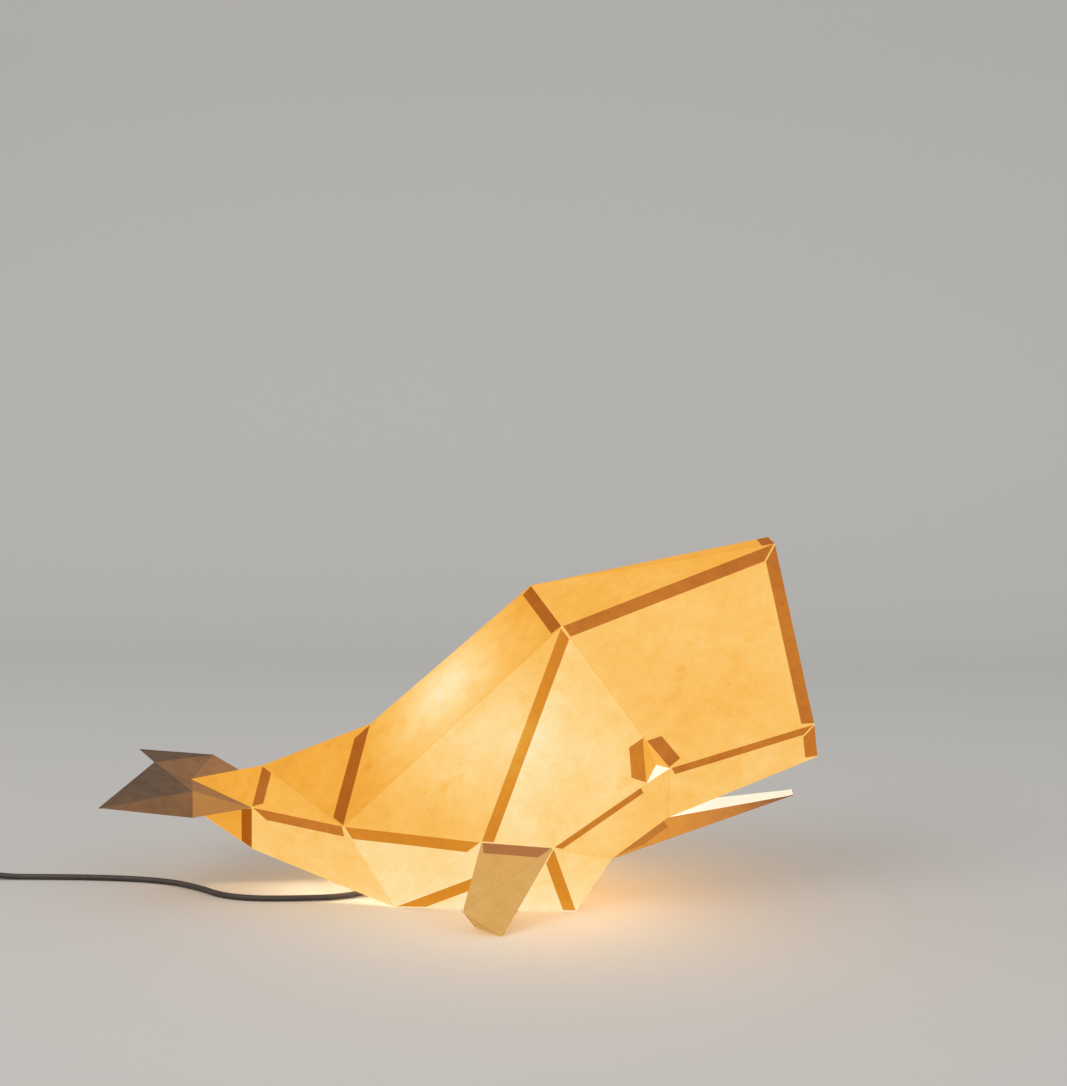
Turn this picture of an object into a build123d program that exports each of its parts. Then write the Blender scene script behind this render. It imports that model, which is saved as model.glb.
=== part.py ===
"""Folded paper whale table lamp: a many-sided paper shade over a small bulb unit with its cord.

Millimetres, +Z up. The origin is on the table under the bulb, the head points to +X and the
side that faces the viewer is -Y. The shade is glued from flat paper sheets with folds; each
seam has a glue tab that belongs to one sheet and lies behind its neighbour.
"""

from math import cos, pi, radians, sin, sqrt, tan
import os

from build123d import *

os.makedirs("parts", exist_ok=True)

# --- paper -----------------------------------------------------------------------------------
PAPER = 0.4          # thickness of the card
GLUE = 0.03          # glue line between a tab and the sheet over it
TAB = 11.0           # width of most glue tabs
TAB_REACH = 1.5      # how far a tab runs back under its own sheet
TAB_INSET = 1.2      # clear space between a tab's end and the next fold
TAB_INSET_MAX = 6.0
TAB_END = 5.0        # least length of a tab's inner edge
STEEPEST_MITRE = radians(80)
SQUARE_END = 0.15    # least lean of a tab's end, per millimetre of the tab's width
FLAT_FOLD = 0.12     # sine of the fold angle under which a seam counts as flat
GROW = 6.0           # facets are cut this much oversize before they are trimmed at their folds

# --- bulb unit: heights are above the table ----------------------------------------------------
PAD_R, PAD_H = 35.0, 1.5
FOOT_R, FOOT_H = 38.0, 12.0
FOOT_TOP, FOOT_ROUND = PAD_H + FOOT_H, 3.0
STEM_R, STEM_BORE = 5.0, 3.2
STEM_LOW, STEM_TOP = 6.0, 34.0
NUT_SIZE, NUT_H = 14.0, 3.5
WELL_R, WELL_TOP = 17.0, FOOT_TOP - 3.5
COVER_R, COVER_H = 20.0, 1.5
HOLDER_R, HOLDER_WALL = 14.0, 2.0
CAP_LOW, CAP_TOP = 26.0, 38.0
CAP_BEVEL, CAP_FLOOR = 3.0, 4.0
HOLDER_TOP = 70.0
BLOCK_TOP = 43.0
SLEEVE_R, SLEEVE_BORE = 8.3, 7.15
SLEEVE_LOW, SLEEVE_TOP = BLOCK_TOP, 66.0
CONTACT_R = 3.0
BULB_TIP, BULB_TIP_R, GLASS_R = 44.5, 2.5, 3.5
CAP_BASE, CAP_END, CAP_CONE = 47.0, 67.0, 1.0
THREAD_OUT, THREAD_IN, THREAD_PITCH = 6.9, 6.3, 2.8
COLLAR_R, COLLAR_WIDE, COLLAR_TOP = 7.6, 15.4, 84.5
COLLAR_NECK, COLLAR_STEP, COLLAR_STEP_R = 1.5, 3.0, 11.1     # neck and step, above the holder
GLOBE_R, GLOBE_Z, GLOBE_WALL = 22.5, 100.0, 1.0
FIT = 0.1            # running clearance, radial

# --- cord, switch and plug ---------------------------------------------------------------------
CORD_D = 5.4
ARC_SHARE = 0.45                 # of the shorter run at a corner that its arc takes
FLOOR_Z = CORD_D / 2 + 0.1       # centre of a cord lying on the table
GRIP_R, GRIP_OUT, GRIP_IN = 5.5, 8.0, 8.0
GRIP_Z, GRIP_TAPER = PAD_H + 6.0, 4
SWITCH_X, SWITCH_Y = -536.0, 5.0
SWITCH_L, SWITCH_W, SWITCH_H = 62.0, 26.0, 17.0
SWITCH_WALL, SWITCH_ROUND = 2.5, 5.0
BASE_BEVEL, COVER_BEVEL = 1.0, 1.5
INLET_Z = SWITCH_H / 2
INLET_R, INLET_LEN = 4.5, 5.0
WINDOW_L, WINDOW_W = 18.4, 11.8
ROCKER_L, ROCKER_W = 16.0, 11.0
ROCKER_LOW, ROCKER_HIGH, ROCKER_DIP = -2.5, 6.0, 4.8         # from the pivot
ROCKER_TILT = 7.0                # the lamp is on: the rocker lies over by this much
PIVOT_Z, PIVOT_R = 12.5, 1.0
PIVOT_EAR_L, PIVOT_EAR_W, PIVOT_EAR_DROP = 6.0, 3.0, 2.5
COIL_X, COIL_Y = -588.2, -60.0
COIL_R, COIL_PITCH = 38.0, 5.9
COIL_Z = CORD_D / 2 + 0.8
COIL_HALF_TURNS = 6              # in each layer, counting the climb to the upper one there
TIE_WALL, TIE_WIDTH, TIE_GAP = 0.5, 10.0, 0.3
PLUG_L, PLUG_W, PLUG_H, PLUG_BEVEL = 36.0, 26.0, 13.7, 1.6
PLUG_BACK_W, PLUG_NECK_W, PLUG_NECK, PLUG_SHOULDER = 10.0, 11.0, 8.0, 18.0
PIN_R, PIN_LEN, PIN_APART, PIN_BEVEL = 2.0, 19.0, 18.6, 0.7

# Route of the cord from the lamp's foot to the switch, from the switch to the coil, and from
# the coil to the plug: the corner points of straight runs that arcs join.
LAMP_ROUTE = [
    (-FOOT_R - GRIP_OUT, 0, GRIP_Z),
    (-62, 0, GRIP_Z),
    (-86, -12, 4.6),
    (-116, -29, FLOOR_Z),
    (-154, -37, FLOOR_Z),
    (-192, -41, FLOOR_Z),
    (-224, -35, FLOOR_Z),
    (-250, -14, FLOOR_Z),
    (-282, 4, FLOOR_Z),
    (-322, 12, FLOOR_Z),
    (-368, 13, FLOOR_Z),
    (-414, 10.5, FLOOR_Z),
    (-452, 7.5, FLOOR_Z),
    (-483, 5, INLET_Z),
    (-500, 5, INLET_Z),
]
LINK_ROUTE = [
    (-572, 5, INLET_Z),
    (-590, 5, INLET_Z),
    (-608.1, -3.5, 6.6),
    (-621, -18.8, 4.6),
    (-626.2, -38.1, COIL_Z),
    (-626.2, -54.6, COIL_Z),
]
PLUG_ROUTE = [
    (-626.2, -65.4, COIL_Z + COIL_PITCH),
    (-626.2, -81, COIL_Z + COIL_PITCH),
    (-621, -100, PLUG_H / 2),
    (-621, -117, PLUG_H / 2),
]

# --- corners of the folded shade: distance along, half width, height ---------------------------
CORNERS = {
    "stern_top": (-263.4, 0.0, 103.4),
    "stern_low": (-263.4, 0.0, 76.1),
    "tail_ridge": (-193.8, 0.0, 118.1),
    "back_low": (-91.5, 0.0, 158.8),
    "crown": (58.9, 0.0, 289.7),
    "tail_keel": (-205.5, 0.0, 38.2),
    "neck": (92.8, 69.2, 260.0),
    "brow": (277.4, 50.8, 332.6),
    "snout": (312.9, 53.7, 174.9),
    "lip": (318.1, 28.3, 141.4),
    "eye_top": (163.6, 66.8, 164.9),
    "eye_front": (187.9, 65.7, 136.1),
    "eye_rear": (167.1, 66.8, 122.1),
    "eye_pit": (175.3, 52.0, 136.1),
    "hip": (-99.8, 81.4, 81.6),
    "tail_side": (-194.4, 37.4, 86.3),
    "fin_rear": (22.2, 71.1, 67.6),
    "fin_front": (85.7, 69.1, 63.7),
    "rim_rear": (-60.4, 46.9, 0.0),
    "rim_front": (104.2, 44.4, 0.0),
    "mouth": (185.7, 29.1, 83.6),
    "throat": (135.4, 27.9, 44.3),
    "jaw_tip": (298.5, 11.5, 102.6),
    "fin_tip": (46.4, 122.2, 0.0),
    "fin_heel": (19.4, 97.4, 0.0),
    "fin_elbow": (13.3, 127.5, 22.3),
    "fin_inside": (19.9, 65.3, 51.8),
    "knee_top": (-242.4, 61.0, 106.0),
    "knee_low": (-242.7, 61.0, 81.3),
    "fluke_tip": (-312.9, 106.0, 99.4),
    "fluke_notch": (-298.6, 0.0, 119.0),
}

# --- facets, listed counter-clockwise as seen from outside on the viewer's side ----------------
SIDE_SHEETS = {
    "head_side": [
        ("neck", "eye_top", "eye_front", "snout", "brow"),
        ("neck", "fin_rear", "fin_front", "eye_rear", "eye_top"),
    ],
    "back_side": [("back_low", "hip", "neck", "crown"), ("hip", "fin_rear", "neck")],
    "tail_upper": [("tail_ridge", "hip", "back_low"), ("tail_ridge", "tail_side", "hip")],
    "stern_upper": [("stern_top", "tail_side", "tail_ridge")],
    "stern_lower": [
        ("stern_low", "tail_keel", "tail_side"),
        ("stern_top", "stern_low", "tail_side"),
    ],
    "belly_rear": [
        ("tail_side", "tail_keel", "rim_rear", "hip"),
        ("hip", "rim_rear", "fin_rear"),
        ("fin_rear", "rim_rear", "fin_front"),
    ],
    "belly_front": [("rim_rear", "rim_front", "fin_front")],
    "cheek": [
        ("fin_front", "rim_front", "throat"),
        ("fin_front", "throat", "mouth", "eye_front", "eye_rear"),
        ("eye_front", "mouth", "lip", "snout"),
    ],
    "eye": [("eye_top", "eye_rear", "eye_pit"), ("eye_top", "eye_pit", "eye_front")],
    "fin": [
        ("fin_rear", "fin_elbow", "fin_front"),
        ("fin_elbow", "fin_tip", "fin_front"),
        ("fin_rear", "fin_inside", "fin_elbow"),
        ("fin_inside", "fin_heel", "fin_elbow"),
        ("fin_inside", "fin_tip", "fin_heel"),
        ("fin_inside", "fin_front", "fin_tip"),
    ],
    "fluke": [
        ("tail_side", "knee_top", "knee_low"),
        ("knee_top", "fluke_tip", "knee_low"),
        ("tail_side", "stern_top", "knee_top"),
        ("stern_top", "fluke_notch", "knee_top"),
        ("knee_top", "fluke_notch", "fluke_tip"),
    ],
}

# --- sheets that go across from side to side; "-" marks a viewer's side corner, "+" a far one ----
CROSS_SHEETS = {
    "head_top": [
        ("neck-", "brow-", "crown"),
        ("crown", "brow-", "brow+"),
        ("crown", "brow+", "neck+"),
    ],
    "forehead": [("brow-", "snout-", "snout+", "brow+"), ("snout-", "lip-", "lip+", "snout+")],
    "palate": [("mouth-", "mouth+", "lip+", "lip-")],
    "chin": [("throat-", "rim_front-", "rim_front+", "throat+")],
    "jaw": [
        ("mouth-", "throat-", "jaw_tip-"),
        ("throat-", "throat+", "jaw_tip+", "jaw_tip-"),
        ("jaw_tip+", "throat+", "mouth+"),
    ],
}

# The far fluke of the photographed lamp is swept back and up a little by the paper's twist.
FAR_FLUKE = {
    "knee_top": (-260.7, 61.0, 114.7),
    "knee_low": (-259.0, 61.0, 91.0),
    "fluke_tip": (-349.0, 100.0, 111.0),
}

# --- seams: two corners, the sheet that carries the tab, the sheet that covers it ---------------
SIDE_SEAMS = [
    ("neck", "brow", "head_top", "head_side"),
    ("crown", "neck", "head_top", "back_side"),
    ("brow", "snout", "forehead", "head_side"),
    ("snout", "lip", "forehead", "cheek"),
    ("neck", "fin_rear", "back_side", "head_side"),
    ("back_low", "hip", "back_side", "tail_upper"),
    ("tail_ridge", "tail_side", "stern_upper", "tail_upper"),
    ("tail_side", "tail_keel", "belly_rear", "stern_lower"),
    ("tail_side", "hip", "tail_upper", "belly_rear"),
    ("hip", "fin_rear", "back_side", "belly_rear"),
    ("fin_rear", "fin_front", "head_side", "fin"),
    ("rim_rear", "fin_front", "belly_rear", "belly_front"),
    ("fin_front", "rim_front", "cheek", "belly_front"),
    ("fin_front", "eye_rear", "head_side", "cheek"),
    ("eye_front", "snout", "head_side", "cheek"),
    ("eye_top", "eye_rear", "eye", "head_side"),
    ("eye_top", "eye_front", "eye", "head_side"),
    ("mouth", "throat", "cheek", "jaw"),
    ("throat", "rim_front", "cheek", "chin"),
    ("mouth", "lip", "cheek", "palate"),
    ("tail_side", "stern_top", "stern_upper", "stern_lower"),
]
CROSS_SEAMS = [
    ("brow-", "brow+", "forehead", "head_top"),
    ("throat-", "throat+", "jaw", "chin"),
    ("lip-", "lip+", "forehead", "palate"),
    ("crown", "back_low", "back_side_right", "back_side_left"),
    ("back_low", "tail_ridge", "tail_upper_right", "tail_upper_left"),
    ("tail_ridge", "stern_top", "stern_upper_right", "stern_upper_left"),
    ("stern_top", "stern_low", "stern_lower_right", "stern_lower_left"),
    ("stern_low", "tail_keel", "stern_lower_right", "stern_lower_left"),
]

# Tabs that are wider or narrower than most, and ends that lean in otherwise than end_lean says:
# the end at the first corner of the seam.
TAB_WIDTHS = {
    frozenset(("back_low", "hip")): 12.5,
    frozenset(("tail_side", "hip")): 12.5,
    frozenset(("hip", "fin_rear")): 12.0,
    frozenset(("neck", "fin_rear")): 10.0,
    frozenset(("eye_front", "snout")): 9.0,
    frozenset(("fin_front", "eye_rear")): 8.0,
    frozenset(("eye_top", "eye_rear")): 12.5,
    frozenset(("eye_top", "eye_front")): 12.5,
}
END_LEANS = {
    ("back_low", "hip"): 1.1,
    ("tail_side", "hip"): 0.9,
    ("eye_top", "eye_rear"): 0.6,
    ("eye_rear", "eye_top"): 0.4,
    ("eye_top", "eye_front"): 0.4,
    ("eye_front", "eye_top"): 0.0,
}

# A limb stays outside these facets of the body, and starts at these corners.
LIMB_BODY = {"fin": [("head_side", 1), ("belly_rear", 2)], "fluke": [("stern_lower", 1)]}
LIMB_ROOT = {"fin": {"fin_rear", "fin_front", "fin_inside"}, "fluke": {"tail_side", "stern_top"}}
SIDE_NAMES = {"-": "right", "+": "left"}


def key(name, side):
    """A corner's name with its side; a corner on the middle plane has no side."""
    return name if CORNERS[name][1] == 0 else name + side


def place(corner):
    """Where a named corner is."""
    name = corner.rstrip("+-")
    along, half_width, height = CORNERS[name]
    if corner.endswith("+") and name in FAR_FLUKE:
        along, half_width, height = FAR_FLUKE[name]
    return Vector(along, half_width if corner.endswith("+") else -half_width, height)


def outward(points):
    """Unit normal of a polygon that runs counter-clockwise as seen from outside."""
    total = Vector(0, 0, 0)
    for here, following in zip(points, points[1:] + points[:1]):
        total += here.cross(following)
    return total.normalized()


class Facet:
    """One flat field of a sheet."""

    def __init__(self, sheet, kind, corners):
        self.sheet = sheet
        self.kind = kind
        self.corners = corners
        self.points = [place(corner) for corner in corners]
        middle = sum(self.points, Vector(0, 0, 0)) / len(self.points)
        self.normal = outward([point - middle for point in self.points])
        self.middle = middle

    def edges(self):
        """Pairs of corners round the facet."""
        return list(zip(self.corners, self.corners[1:] + self.corners[:1]))

    def inward(self, start, end):
        """In the facet's plane, square to an edge, towards the facet's middle."""
        return self.normal.cross(place(end) - place(start)).normalized()

    def depth_plane(self, depth, facing):
        """The facet's plane moved `depth` under its outer face; facing 1 looks outward."""
        return Plane(origin=self.middle - self.normal * depth, z_dir=self.normal * facing)


def all_facets():
    """Every facet of the shade, by sheet."""
    sheets = {}
    for side, side_name in SIDE_NAMES.items():
        for kind, fields in SIDE_SHEETS.items():
            sheet = f"{kind}_{side_name}"
            sheets[sheet] = []
            for field in fields:
                corners = tuple(key(name, side) for name in field)
                corners = corners if side == "-" else corners[::-1]
                sheets[sheet].append(Facet(sheet, kind, corners))
    for kind, fields in CROSS_SHEETS.items():
        sheets[kind] = [Facet(kind, kind, field) for field in fields]
    return sheets


def all_seams(sheets):
    """Each seam's two corners with the sheet under it and the sheet over it."""
    seams = {frozenset(seam[:2]): seam[2:] for seam in CROSS_SEAMS}
    for side, side_name in SIDE_NAMES.items():
        for start, end, under, over in SIDE_SEAMS:
            pair = frozenset((key(start, side), key(end, side)))
            names = [n if n in sheets else f"{n}_{side_name}" for n in (under, over)]
            seams[pair] = tuple(names)
    return seams


def find(sheet, pair):
    """The facet of a sheet that has this edge, or None."""
    for facet in SHEETS[sheet]:
        if any(frozenset(edge) == pair for edge in facet.edges()):
            return facet
    return None


def fold_kind(over, under, start, end):
    """How the outer faces of two facets meet: in a hollow fold, almost flat, or in a ridge."""
    rise = under.normal.dot(over.inward(start, end))
    if abs(rise) < FLAT_FOLD:
        return "flat"
    return "valley" if rise > 0 else "ridge"


def neighbour(facet, pair):
    """The facet across an edge, on the same sheet or on the body; limbs count only at home."""
    for sheet, fields in SHEETS.items():
        for other in fields:
            if other is facet or (other.kind in LIMB_BODY and other.kind != facet.kind):
                continue
            if any(frozenset(edge) == pair for edge in other.edges()):
                return other
    return None


def edge_cut(facet, start, end):
    """The plane that trims a facet at one edge; its normal points to the side that stays."""
    pair = frozenset((start, end))
    names = {start.rstrip("+-"), end.rstrip("+-")}
    if facet.kind in LIMB_ROOT and names <= LIMB_ROOT[facet.kind]:
        return None
    if names == {"fin_rear", "fin_front"}:
        side = facet.sheet.split("_")[-1]
        if facet.kind == "belly_rear":
            return find(f"head_side_{side}", pair).depth_plane(PAPER, -1)
        return find(f"fin_{side}", pair).depth_plane(2 * PAPER + GLUE, 1)
    other = neighbour(facet, pair)
    inward = facet.inward(start, end)
    if other is None:
        return Plane(origin=place(start), z_dir=inward)
    under, over = SEAMS.get(pair, (None, None))
    if under != over and under == other.sheet:
        if fold_kind(facet, other, start, end) == "valley":
            return other.depth_plane(0, 1)
    if under != over and under == facet.sheet:
        if fold_kind(other, facet, end, start) == "valley":
            return other.depth_plane(2 * PAPER + GLUE, 1)
    return Plane(origin=place(start), z_dir=inward - other.inward(end, start))


def slab(points, facet, top, bottom, cuts, grow):
    """A layer from `top` to `bottom` under a facet's outer face, trimmed by planes."""
    along = points[1] - points[0]
    x_dir = along - facet.normal * along.dot(facet.normal)
    layer = Plane(origin=facet.middle - facet.normal * top, x_dir=x_dir, z_dir=facet.normal)
    flat = [layer.to_local_coords(point) for point in points]
    with BuildPart() as piece:
        with BuildSketch(layer):
            with BuildLine():
                Polyline(*[(point.X, point.Y) for point in flat], close=True)
            make_face()
            if grow:
                offset(amount=grow, kind=Kind.INTERSECTION)
        extrude(amount=top - bottom)
        for cut in cuts:
            split(bisect_by=cut, keep=Keep.TOP)
    return piece.part


def facet_slab(facet):
    """One facet as card, trimmed at its folds and, on a limb, at the body and the table."""
    cuts = [edge_cut(facet, start, end) for start, end in facet.edges()]
    cuts = [cut for cut in cuts if cut is not None]
    for kind, field in LIMB_BODY.get(facet.kind, []):
        side = facet.sheet.split("_")[-1]
        cuts.append(SHEETS[f"{kind}_{side}"][field].depth_plane(0, 1))
    if facet.kind == "fin":
        cuts.append(Plane.XY)
    return slab(facet.points, facet, 0, PAPER, cuts, GROW)


def end_lean(over, corner, far_corner, beyond, opening):
    """How far a tab's end leans in, per millimetre of the tab's width: halfway to the next tab
    behind the same field, or else along the field's next edge."""
    names = (corner.rstrip("+-"), far_corner.rstrip("+-"))
    if names in END_LEANS:
        return END_LEANS[names]
    next_seam = SEAMS.get(frozenset((corner, beyond)), (None, None))
    if next_seam[1] == over.sheet:
        return 1 / tan(min(opening / 2, STEEPEST_MITRE))
    return max(1 / tan(opening), SQUARE_END)


def tab_outline(over, start, end):
    """Corners of a glue tab behind a facet: both base corners, then both inner ones."""
    a, b = place(start), place(end)
    along = (b - a).normalized()
    inward = over.inward(start, end)
    order = over.corners
    before = order[order.index(start) - 1]
    after = order[(order.index(end) + 1) % len(order)]
    opening_a = radians(along.get_angle(place(before) - a))
    opening_b = radians((along * -1).get_angle(place(after) - b))
    inset_a = min(TAB_INSET / sin(opening_a), TAB_INSET_MAX)
    inset_b = min(TAB_INSET / sin(opening_b), TAB_INSET_MAX)
    lean_a = end_lean(over, start, end, before, opening_a)
    lean_b = end_lean(over, end, start, after, opening_b)
    names = frozenset((start.rstrip("+-"), end.rstrip("+-")))
    room = (b - a).length - inset_a - inset_b - TAB_END
    width = min(TAB_WIDTHS.get(names, TAB), room / (lean_a + lean_b))
    base_a = a + along * inset_a
    base_b = b - along * inset_b
    inner_a = base_a + along * (width * lean_a) + inward * width
    inner_b = base_b - along * (width * lean_b) + inward * width
    return base_a, base_b, inner_b, inner_a


def tab_layers(under, over, start, end):
    """The glue tab of the facet `under` behind the facet `over`, joined to its own sheet."""
    base_a, base_b, inner_b, inner_a = tab_outline(over, start, end)
    top, bottom = PAPER + GLUE, 2 * PAPER + GLUE
    back = over.inward(start, end) * -TAB_REACH
    kind = fold_kind(over, under, start, end)
    if kind == "valley":
        cuts = [under.depth_plane(PAPER / 2, 1)]
        return [slab([base_a, base_b, inner_b, inner_a], over, top, bottom, cuts, 0)]
    reaching = [base_a + back, base_b + back, base_b, inner_b, inner_a, base_a]
    if kind == "ridge":
        cuts = [under.depth_plane(PAPER / 2, -1)]
        return [slab(reaching, over, top, bottom, cuts, 0)]
    strip = [base_a + back, base_b + back, base_b, base_a]
    return [
        slab(reaching, over, top, bottom, [], 0),
        slab(strip, over, PAPER / 2, bottom, [edge_cut(under, end, start)], 0),
    ]


SHEETS = all_facets()
SEAMS = all_seams(SHEETS)

for sheet_name, fields in SHEETS.items():
    layers = [facet_slab(field) for field in fields]
    for pair, (under_name, over_name) in SEAMS.items():
        if under_name != sheet_name:
            continue
        under_facet = find(under_name, pair)
        over_facet = find(over_name, pair)
        first, last = next(e for e in over_facet.edges() if frozenset(e) == pair)
        layers += tab_layers(under_facet, over_facet, first, last)
    with BuildPart() as sheet:
        for layer in layers:
            add(layer)
    sheet.part.label = sheet_name
    export_step(sheet.part, f"parts/{sheet_name}.step")
    print(sheet_name, "solids", len(sheet.part.solids()), "volume", round(sheet.part.volume, 1))


def finish(piece, name):
    """Label a piece, write it and print what it measures."""
    piece.part.label = name
    export_step(piece.part, f"parts/{name}.step")
    print(name, "solids", len(piece.part.solids()), "volume", round(piece.part.volume, 1))


def turned(outline):
    """A round piece from its half outline, given as radius and height."""
    with BuildPart() as piece:
        with BuildSketch(Plane.XZ):
            with BuildLine():
                Polyline(*outline, close=True)
            make_face()
        revolve(axis=Axis.Z)
    return piece


def tube(inner, outer, low, high):
    """A ring or tube about the lamp's axis, or a disc where the inner radius is 0."""
    return turned([(inner, low), (outer, low), (outer, high), (inner, high)])


# --- foot: weight, cover, felt pad, stem and its nuts --------------------------------------------
with BuildPart() as foot_weight:
    with BuildSketch(Plane.XY.offset(PAD_H)):
        Circle(FOOT_R)
        Circle(STEM_R + FIT / 2, mode=Mode.SUBTRACT)
    extrude(amount=FOOT_H)
    top_circles = foot_weight.edges().filter_by(GeomType.CIRCLE).group_by(Axis.Z)[-1]
    fillet(top_circles.sort_by(SortBy.RADIUS)[-1], radius=FOOT_ROUND)
    with BuildSketch(Plane(origin=(-FOOT_R, 0, GRIP_Z), z_dir=(1, 0, 0))):
        Circle(GRIP_R)
    extrude(amount=GRIP_IN, mode=Mode.SUBTRACT)
    with BuildSketch(Plane(origin=(-FOOT_R, 0, GRIP_Z), z_dir=(1, 0, 0))):
        Circle(CORD_D / 2)
    extrude(amount=FOOT_R - WELL_R + 1, mode=Mode.SUBTRACT)
    with BuildSketch(Plane.XY.offset(PAD_H)):
        Circle(WELL_R)
    extrude(amount=WELL_TOP - PAD_H, mode=Mode.SUBTRACT)
    with BuildSketch(Plane.XY.offset(PAD_H)):
        Circle(COVER_R)
    extrude(amount=COVER_H, mode=Mode.SUBTRACT)
finish(foot_weight, "foot_weight")

foot_cover = tube(0, COVER_R - FIT, PAD_H, PAD_H + COVER_H)
finish(foot_cover, "foot_cover")

foot_pad = tube(0, PAD_R, 0, PAD_H)
finish(foot_pad, "foot_pad")

stem = tube(STEM_BORE, STEM_R, STEM_LOW, STEM_TOP)
finish(stem, "stem")

with BuildPart() as stem_nuts:
    for low in (WELL_TOP - NUT_H, FOOT_TOP):
        with BuildSketch(Plane.XY.offset(low)):
            RegularPolygon(NUT_SIZE / 2, 6, major_radius=False)
            Circle(STEM_R + FIT / 2, mode=Mode.SUBTRACT)
        extrude(amount=NUT_H)
finish(stem_nuts, "stem_nuts")

with BuildPart() as cord_grip:
    with BuildSketch(Plane(origin=(-FOOT_R + GRIP_IN, 0, GRIP_Z), z_dir=(-1, 0, 0))):
        Circle(GRIP_R - FIT / 2)
    extrude(amount=GRIP_IN + GRIP_OUT, taper=GRIP_TAPER)
finish(cord_grip, "cord_grip")

# --- lampholder --------------------------------------------------------------------------------
BODY_BORE = HOLDER_R - HOLDER_WALL
holder_cap = turned([
    (STEM_R + FIT / 2, CAP_LOW),
    (HOLDER_R - CAP_BEVEL, CAP_LOW),
    (HOLDER_R, CAP_LOW + CAP_BEVEL),
    (HOLDER_R, CAP_TOP),
    (BODY_BORE, CAP_TOP),
    (BODY_BORE, CAP_LOW + CAP_FLOOR),
    (STEM_R + FIT / 2, CAP_LOW + CAP_FLOOR),
])
finish(holder_cap, "holder_cap")
holder_body = tube(BODY_BORE, HOLDER_R, CAP_TOP, HOLDER_TOP)
finish(holder_body, "holder_body")
holder_block = tube(0, BODY_BORE, CAP_TOP, BLOCK_TOP)
finish(holder_block, "holder_block")
holder_sleeve = tube(SLEEVE_BORE, SLEEVE_R, SLEEVE_LOW, SLEEVE_TOP)
finish(holder_sleeve, "holder_sleeve")
holder_contact = tube(0, CONTACT_R, BLOCK_TOP, BULB_TIP)
finish(holder_contact, "holder_contact")

# --- bulb --------------------------------------------------------------------------------------
thread_low = CAP_BASE + CAP_CONE
cap_outline = [(0, BULB_TIP), (BULB_TIP_R, BULB_TIP), (GLASS_R, CAP_BASE), (THREAD_IN, thread_low)]
for turn in range(int((CAP_END - thread_low) / THREAD_PITCH)):
    crest = thread_low + (turn + 0.5) * THREAD_PITCH
    cap_outline += [(THREAD_OUT, crest), (THREAD_IN, crest + THREAD_PITCH / 2)]
cap_outline += [(THREAD_OUT, CAP_END), (0, CAP_END)]
bulb_cap = turned(cap_outline)
finish(bulb_cap, "bulb_cap")

bulb_collar = turned([
    (0, CAP_END),
    (COLLAR_R, CAP_END),
    (COLLAR_R, HOLDER_TOP + COLLAR_NECK),
    (COLLAR_STEP_R, HOLDER_TOP + COLLAR_STEP),
    (COLLAR_WIDE, COLLAR_TOP),
    (0, COLLAR_TOP),
])
finish(bulb_collar, "bulb_collar")

drop = GLOBE_Z - COLLAR_TOP
outer_x = sqrt(GLOBE_R**2 - drop**2)
inner_x = sqrt((GLOBE_R - GLOBE_WALL) ** 2 - drop**2)
with BuildPart() as bulb_globe:
    with BuildSketch(Plane.XZ):
        with BuildLine():
            ThreePointArc((outer_x, COLLAR_TOP), (GLOBE_R, GLOBE_Z), (0, GLOBE_Z + GLOBE_R))
            Line((0, GLOBE_Z + GLOBE_R), (0, GLOBE_Z + GLOBE_R - GLOBE_WALL))
            ThreePointArc(
                (0, GLOBE_Z + GLOBE_R - GLOBE_WALL),
                (GLOBE_R - GLOBE_WALL, GLOBE_Z),
                (inner_x, COLLAR_TOP),
            )
            Line((inner_x, COLLAR_TOP), (outer_x, COLLAR_TOP))
        make_face()
    revolve(axis=Axis.Z)
finish(bulb_globe, "bulb_globe")

# --- cord switch, along X ------------------------------------------------------------------------
switch_floor = Plane(origin=(SWITCH_X, SWITCH_Y, 0))
ROOM_L, ROOM_W = SWITCH_L - 2 * SWITCH_WALL, SWITCH_W - 2 * SWITCH_WALL

with BuildPart() as switch_base:
    with BuildSketch(switch_floor):
        RectangleRounded(SWITCH_L, SWITCH_W, SWITCH_ROUND)
    extrude(amount=INLET_Z)
    chamfer(switch_base.faces().sort_by(Axis.Z)[0].edges(), length=BASE_BEVEL)
    with BuildSketch(switch_floor.offset(SWITCH_WALL)):
        RectangleRounded(ROOM_L, ROOM_W, SWITCH_ROUND - SWITCH_WALL)
    extrude(amount=INLET_Z, mode=Mode.SUBTRACT)
    for way in (-1, 1):
        end = SWITCH_X + way * (SWITCH_L / 2 + INLET_LEN)
        with BuildSketch(Plane(origin=(end, SWITCH_Y, INLET_Z), z_dir=(-way, 0, 0))):
            Circle(INLET_R)
        extrude(amount=INLET_LEN)
finish(switch_base, "switch_base")

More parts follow.
